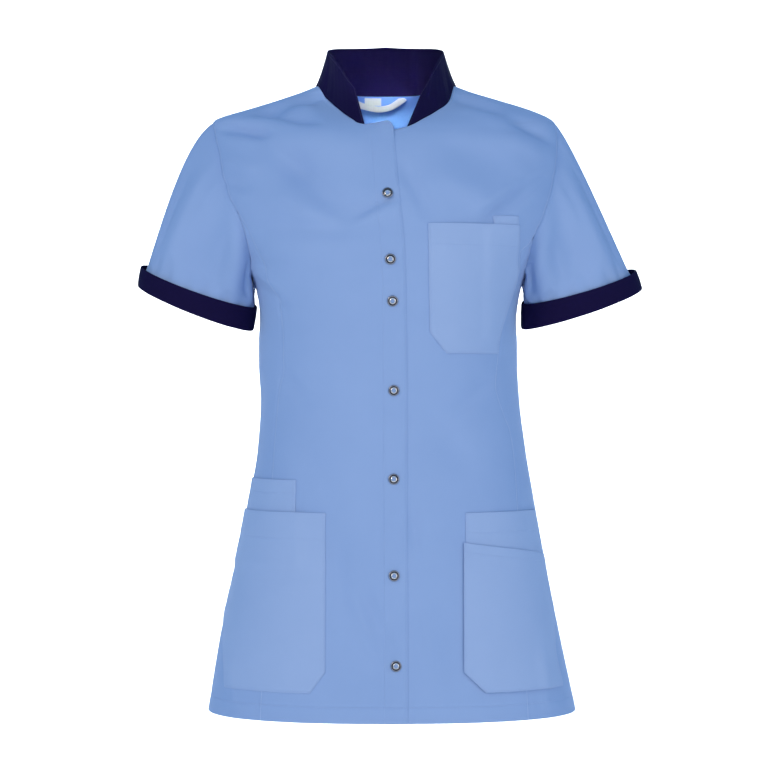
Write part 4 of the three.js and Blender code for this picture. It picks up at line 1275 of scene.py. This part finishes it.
make("front_right", front_right())
make("front_left", front_left())
make_both("side_front", side_front)
make("back", back_panel())
make_both("side_back", side_back)
make_both("sleeve", sleeve)
make_both("cuff", cuff)
make("collar", collar())
make("hip_pocket_right", hip_pocket_right())
make("small_pocket_right", small_pocket_right())
make("hip_pocket_left", hip_pocket_left())
make("hip_pocket_left_front", hip_pocket_left_front())
make("chest_pocket", chest_pocket())
make("pen_pocket", pen_pocket())
make("hanger_loop", hanger_loop())
make("neck_label", neck_label())
for number, (height, across) in enumerate(SNAPS, 1):
    make(f"snap_{number}", snap(number, height, across))


# Camera, light and floor: the camera's place in metres, its lens and film in millimetres
CAMERA = (-0.0024, -3.0, -0.3522)
LENS_LENGTH = 118.17
FILM_WIDTH = 36
WARM = (1, 0.758, 0.533)
WHITE_LIGHT = (1, 1, 1)
NARROW, WIDE = math.radians(7), math.pi

# Lamps: place and aim in metres, width, power, spread and colour
LAMPS = {
    "key": ((-1.8, -2.1, 0.75), (0, 0, -0.35), 0.8, 26.4, WIDE, WARM),
    "fill": ((1.9, -1.9, 0.0), (0, 0, -0.4), 1.8, 19.8, WIDE, WARM),
    "front": ((0, -3.4, 0.2), (0, 0, -0.35), 1.7, 10.6, WIDE, WARM),
    "low": ((0, -2.4, -1.5), (0, 0, -0.7), 1.6, 13.2, WIDE, WARM),
    "neck": ((0, -1.0, 0.75), (-0.004, 0.07, -0.040), 0.05, 0.070, NARROW, WHITE_LIGHT),
    "left_wall": ((-1.9, 2.2, -0.2), (-0.7, 4.4, -0.3), 1.6, 115, WIDE, WHITE_LIGHT),
    "right_wall": ((1.9, 2.2, -0.2), (0.7, 4.4, -0.3), 1.6, 115, WIDE, WHITE_LIGHT),
}

# Floor: its height, where it starts in front, where the wall stands and ends, and the bend between
FLOOR_Z, FLOOR_START, WALL_Y, WALL_TOP, FLOOR_BEND = -1400.0, -5500.0, 4400.0, 2800.0, 900.0
FLOOR_HALF = 7000

# Blue air that lights the cloth's shaded side, and the pale background that the camera sees
AIR = (0.32, 0.72, 1.12, 1)
AIR_STRENGTH = 0.58
BACKGROUND = (0.78, 0.81, 0.84, 1)


def add_camera():
    """Level camera three metres away."""
    lens = bpy.data.cameras.new("camera")
    lens.lens = LENS_LENGTH
    lens.sensor_width = FILM_WIDTH
    camera = add_object("camera", lens)
    camera.location = CAMERA
    camera.rotation_euler = (math.pi / 2, 0, 0)
    bpy.context.scene.camera = camera


def add_lamp(name, place, aim, size, power, spread, colour):
    """Square lamp that shines from its place to its aim."""
    light = bpy.data.lights.new(name, "AREA")
    light.size = size
    light.energy = power
    light.spread = spread
    light.color = colour
    lamp = add_object(name, light)
    lamp.location = place
    way = np.array(aim, float) - np.array(place, float)
    lamp.rotation_euler = (math.atan2(math.hypot(way[0], way[1]), -way[2]), 0,
                           math.atan2(way[1], way[0]) - math.pi / 2)
    lamp.visible_camera = False


def add_floor():
    """Pale floor that rises into a wall through a quarter circle."""
    angle = np.linspace(0, math.pi / 2, 16)
    y = np.concatenate([[FLOOR_START], WALL_Y - FLOOR_BEND + FLOOR_BEND * np.sin(angle), [WALL_Y]])
    z = np.concatenate([[FLOOR_Z], FLOOR_Z + FLOOR_BEND - FLOOR_BEND * np.cos(angle), [WALL_TOP]])
    x = np.linspace(-FLOOR_HALF, FLOOR_HALF, 5)
    points = np.stack(np.broadcast_arrays(x[None, :], y[:, None], z[:, None]), -1)
    index = np.arange(points[..., 0].size).reshape(points.shape[:2])
    quads = grid_quads(index)
    mesh = bpy.data.meshes.new("pale_floor")
    mesh.from_pydata((points.reshape(-1, 3) / 1000).tolist(), [], quads.tolist())
    mesh.polygons.foreach_set("use_smooth", np.ones(len(mesh.polygons), bool))
    look = new_look("pale_paper")[0]
    shader(look, Base_Color=(0.95, 0.95, 0.95, 1), Roughness=0.9)
    mesh.materials.append(look)
    floor = add_object("pale_floor", mesh)


def add_air():
    """The camera sees the background, and everything else is lit by the air."""
    world = bpy.data.worlds.new("studio_air")
    world.use_nodes = True
    nodes, links = world.node_tree.nodes, world.node_tree.links
    air = nodes["Background"]
    air.inputs[0].default_value = AIR
    air.inputs[1].default_value = AIR_STRENGTH
    seen = nodes.new("ShaderNodeBackground")
    seen.inputs[0].default_value = BACKGROUND
    choice = nodes.new("ShaderNodeMixShader")
    links.new(nodes.new("ShaderNodeLightPath").outputs["Is Camera Ray"], choice.inputs[0])
    links.new(air.outputs[0], choice.inputs[1])
    links.new(seen.outputs[0], choice.inputs[2])
    links.new(choice.outputs[0], nodes["World Output"].inputs[0])
    bpy.context.scene.world = world


add_camera()
for name, values in LAMPS.items():
    add_lamp(name, *values)
add_floor()
add_air()
bpy.context.scene.view_settings.view_transform = "Standard"
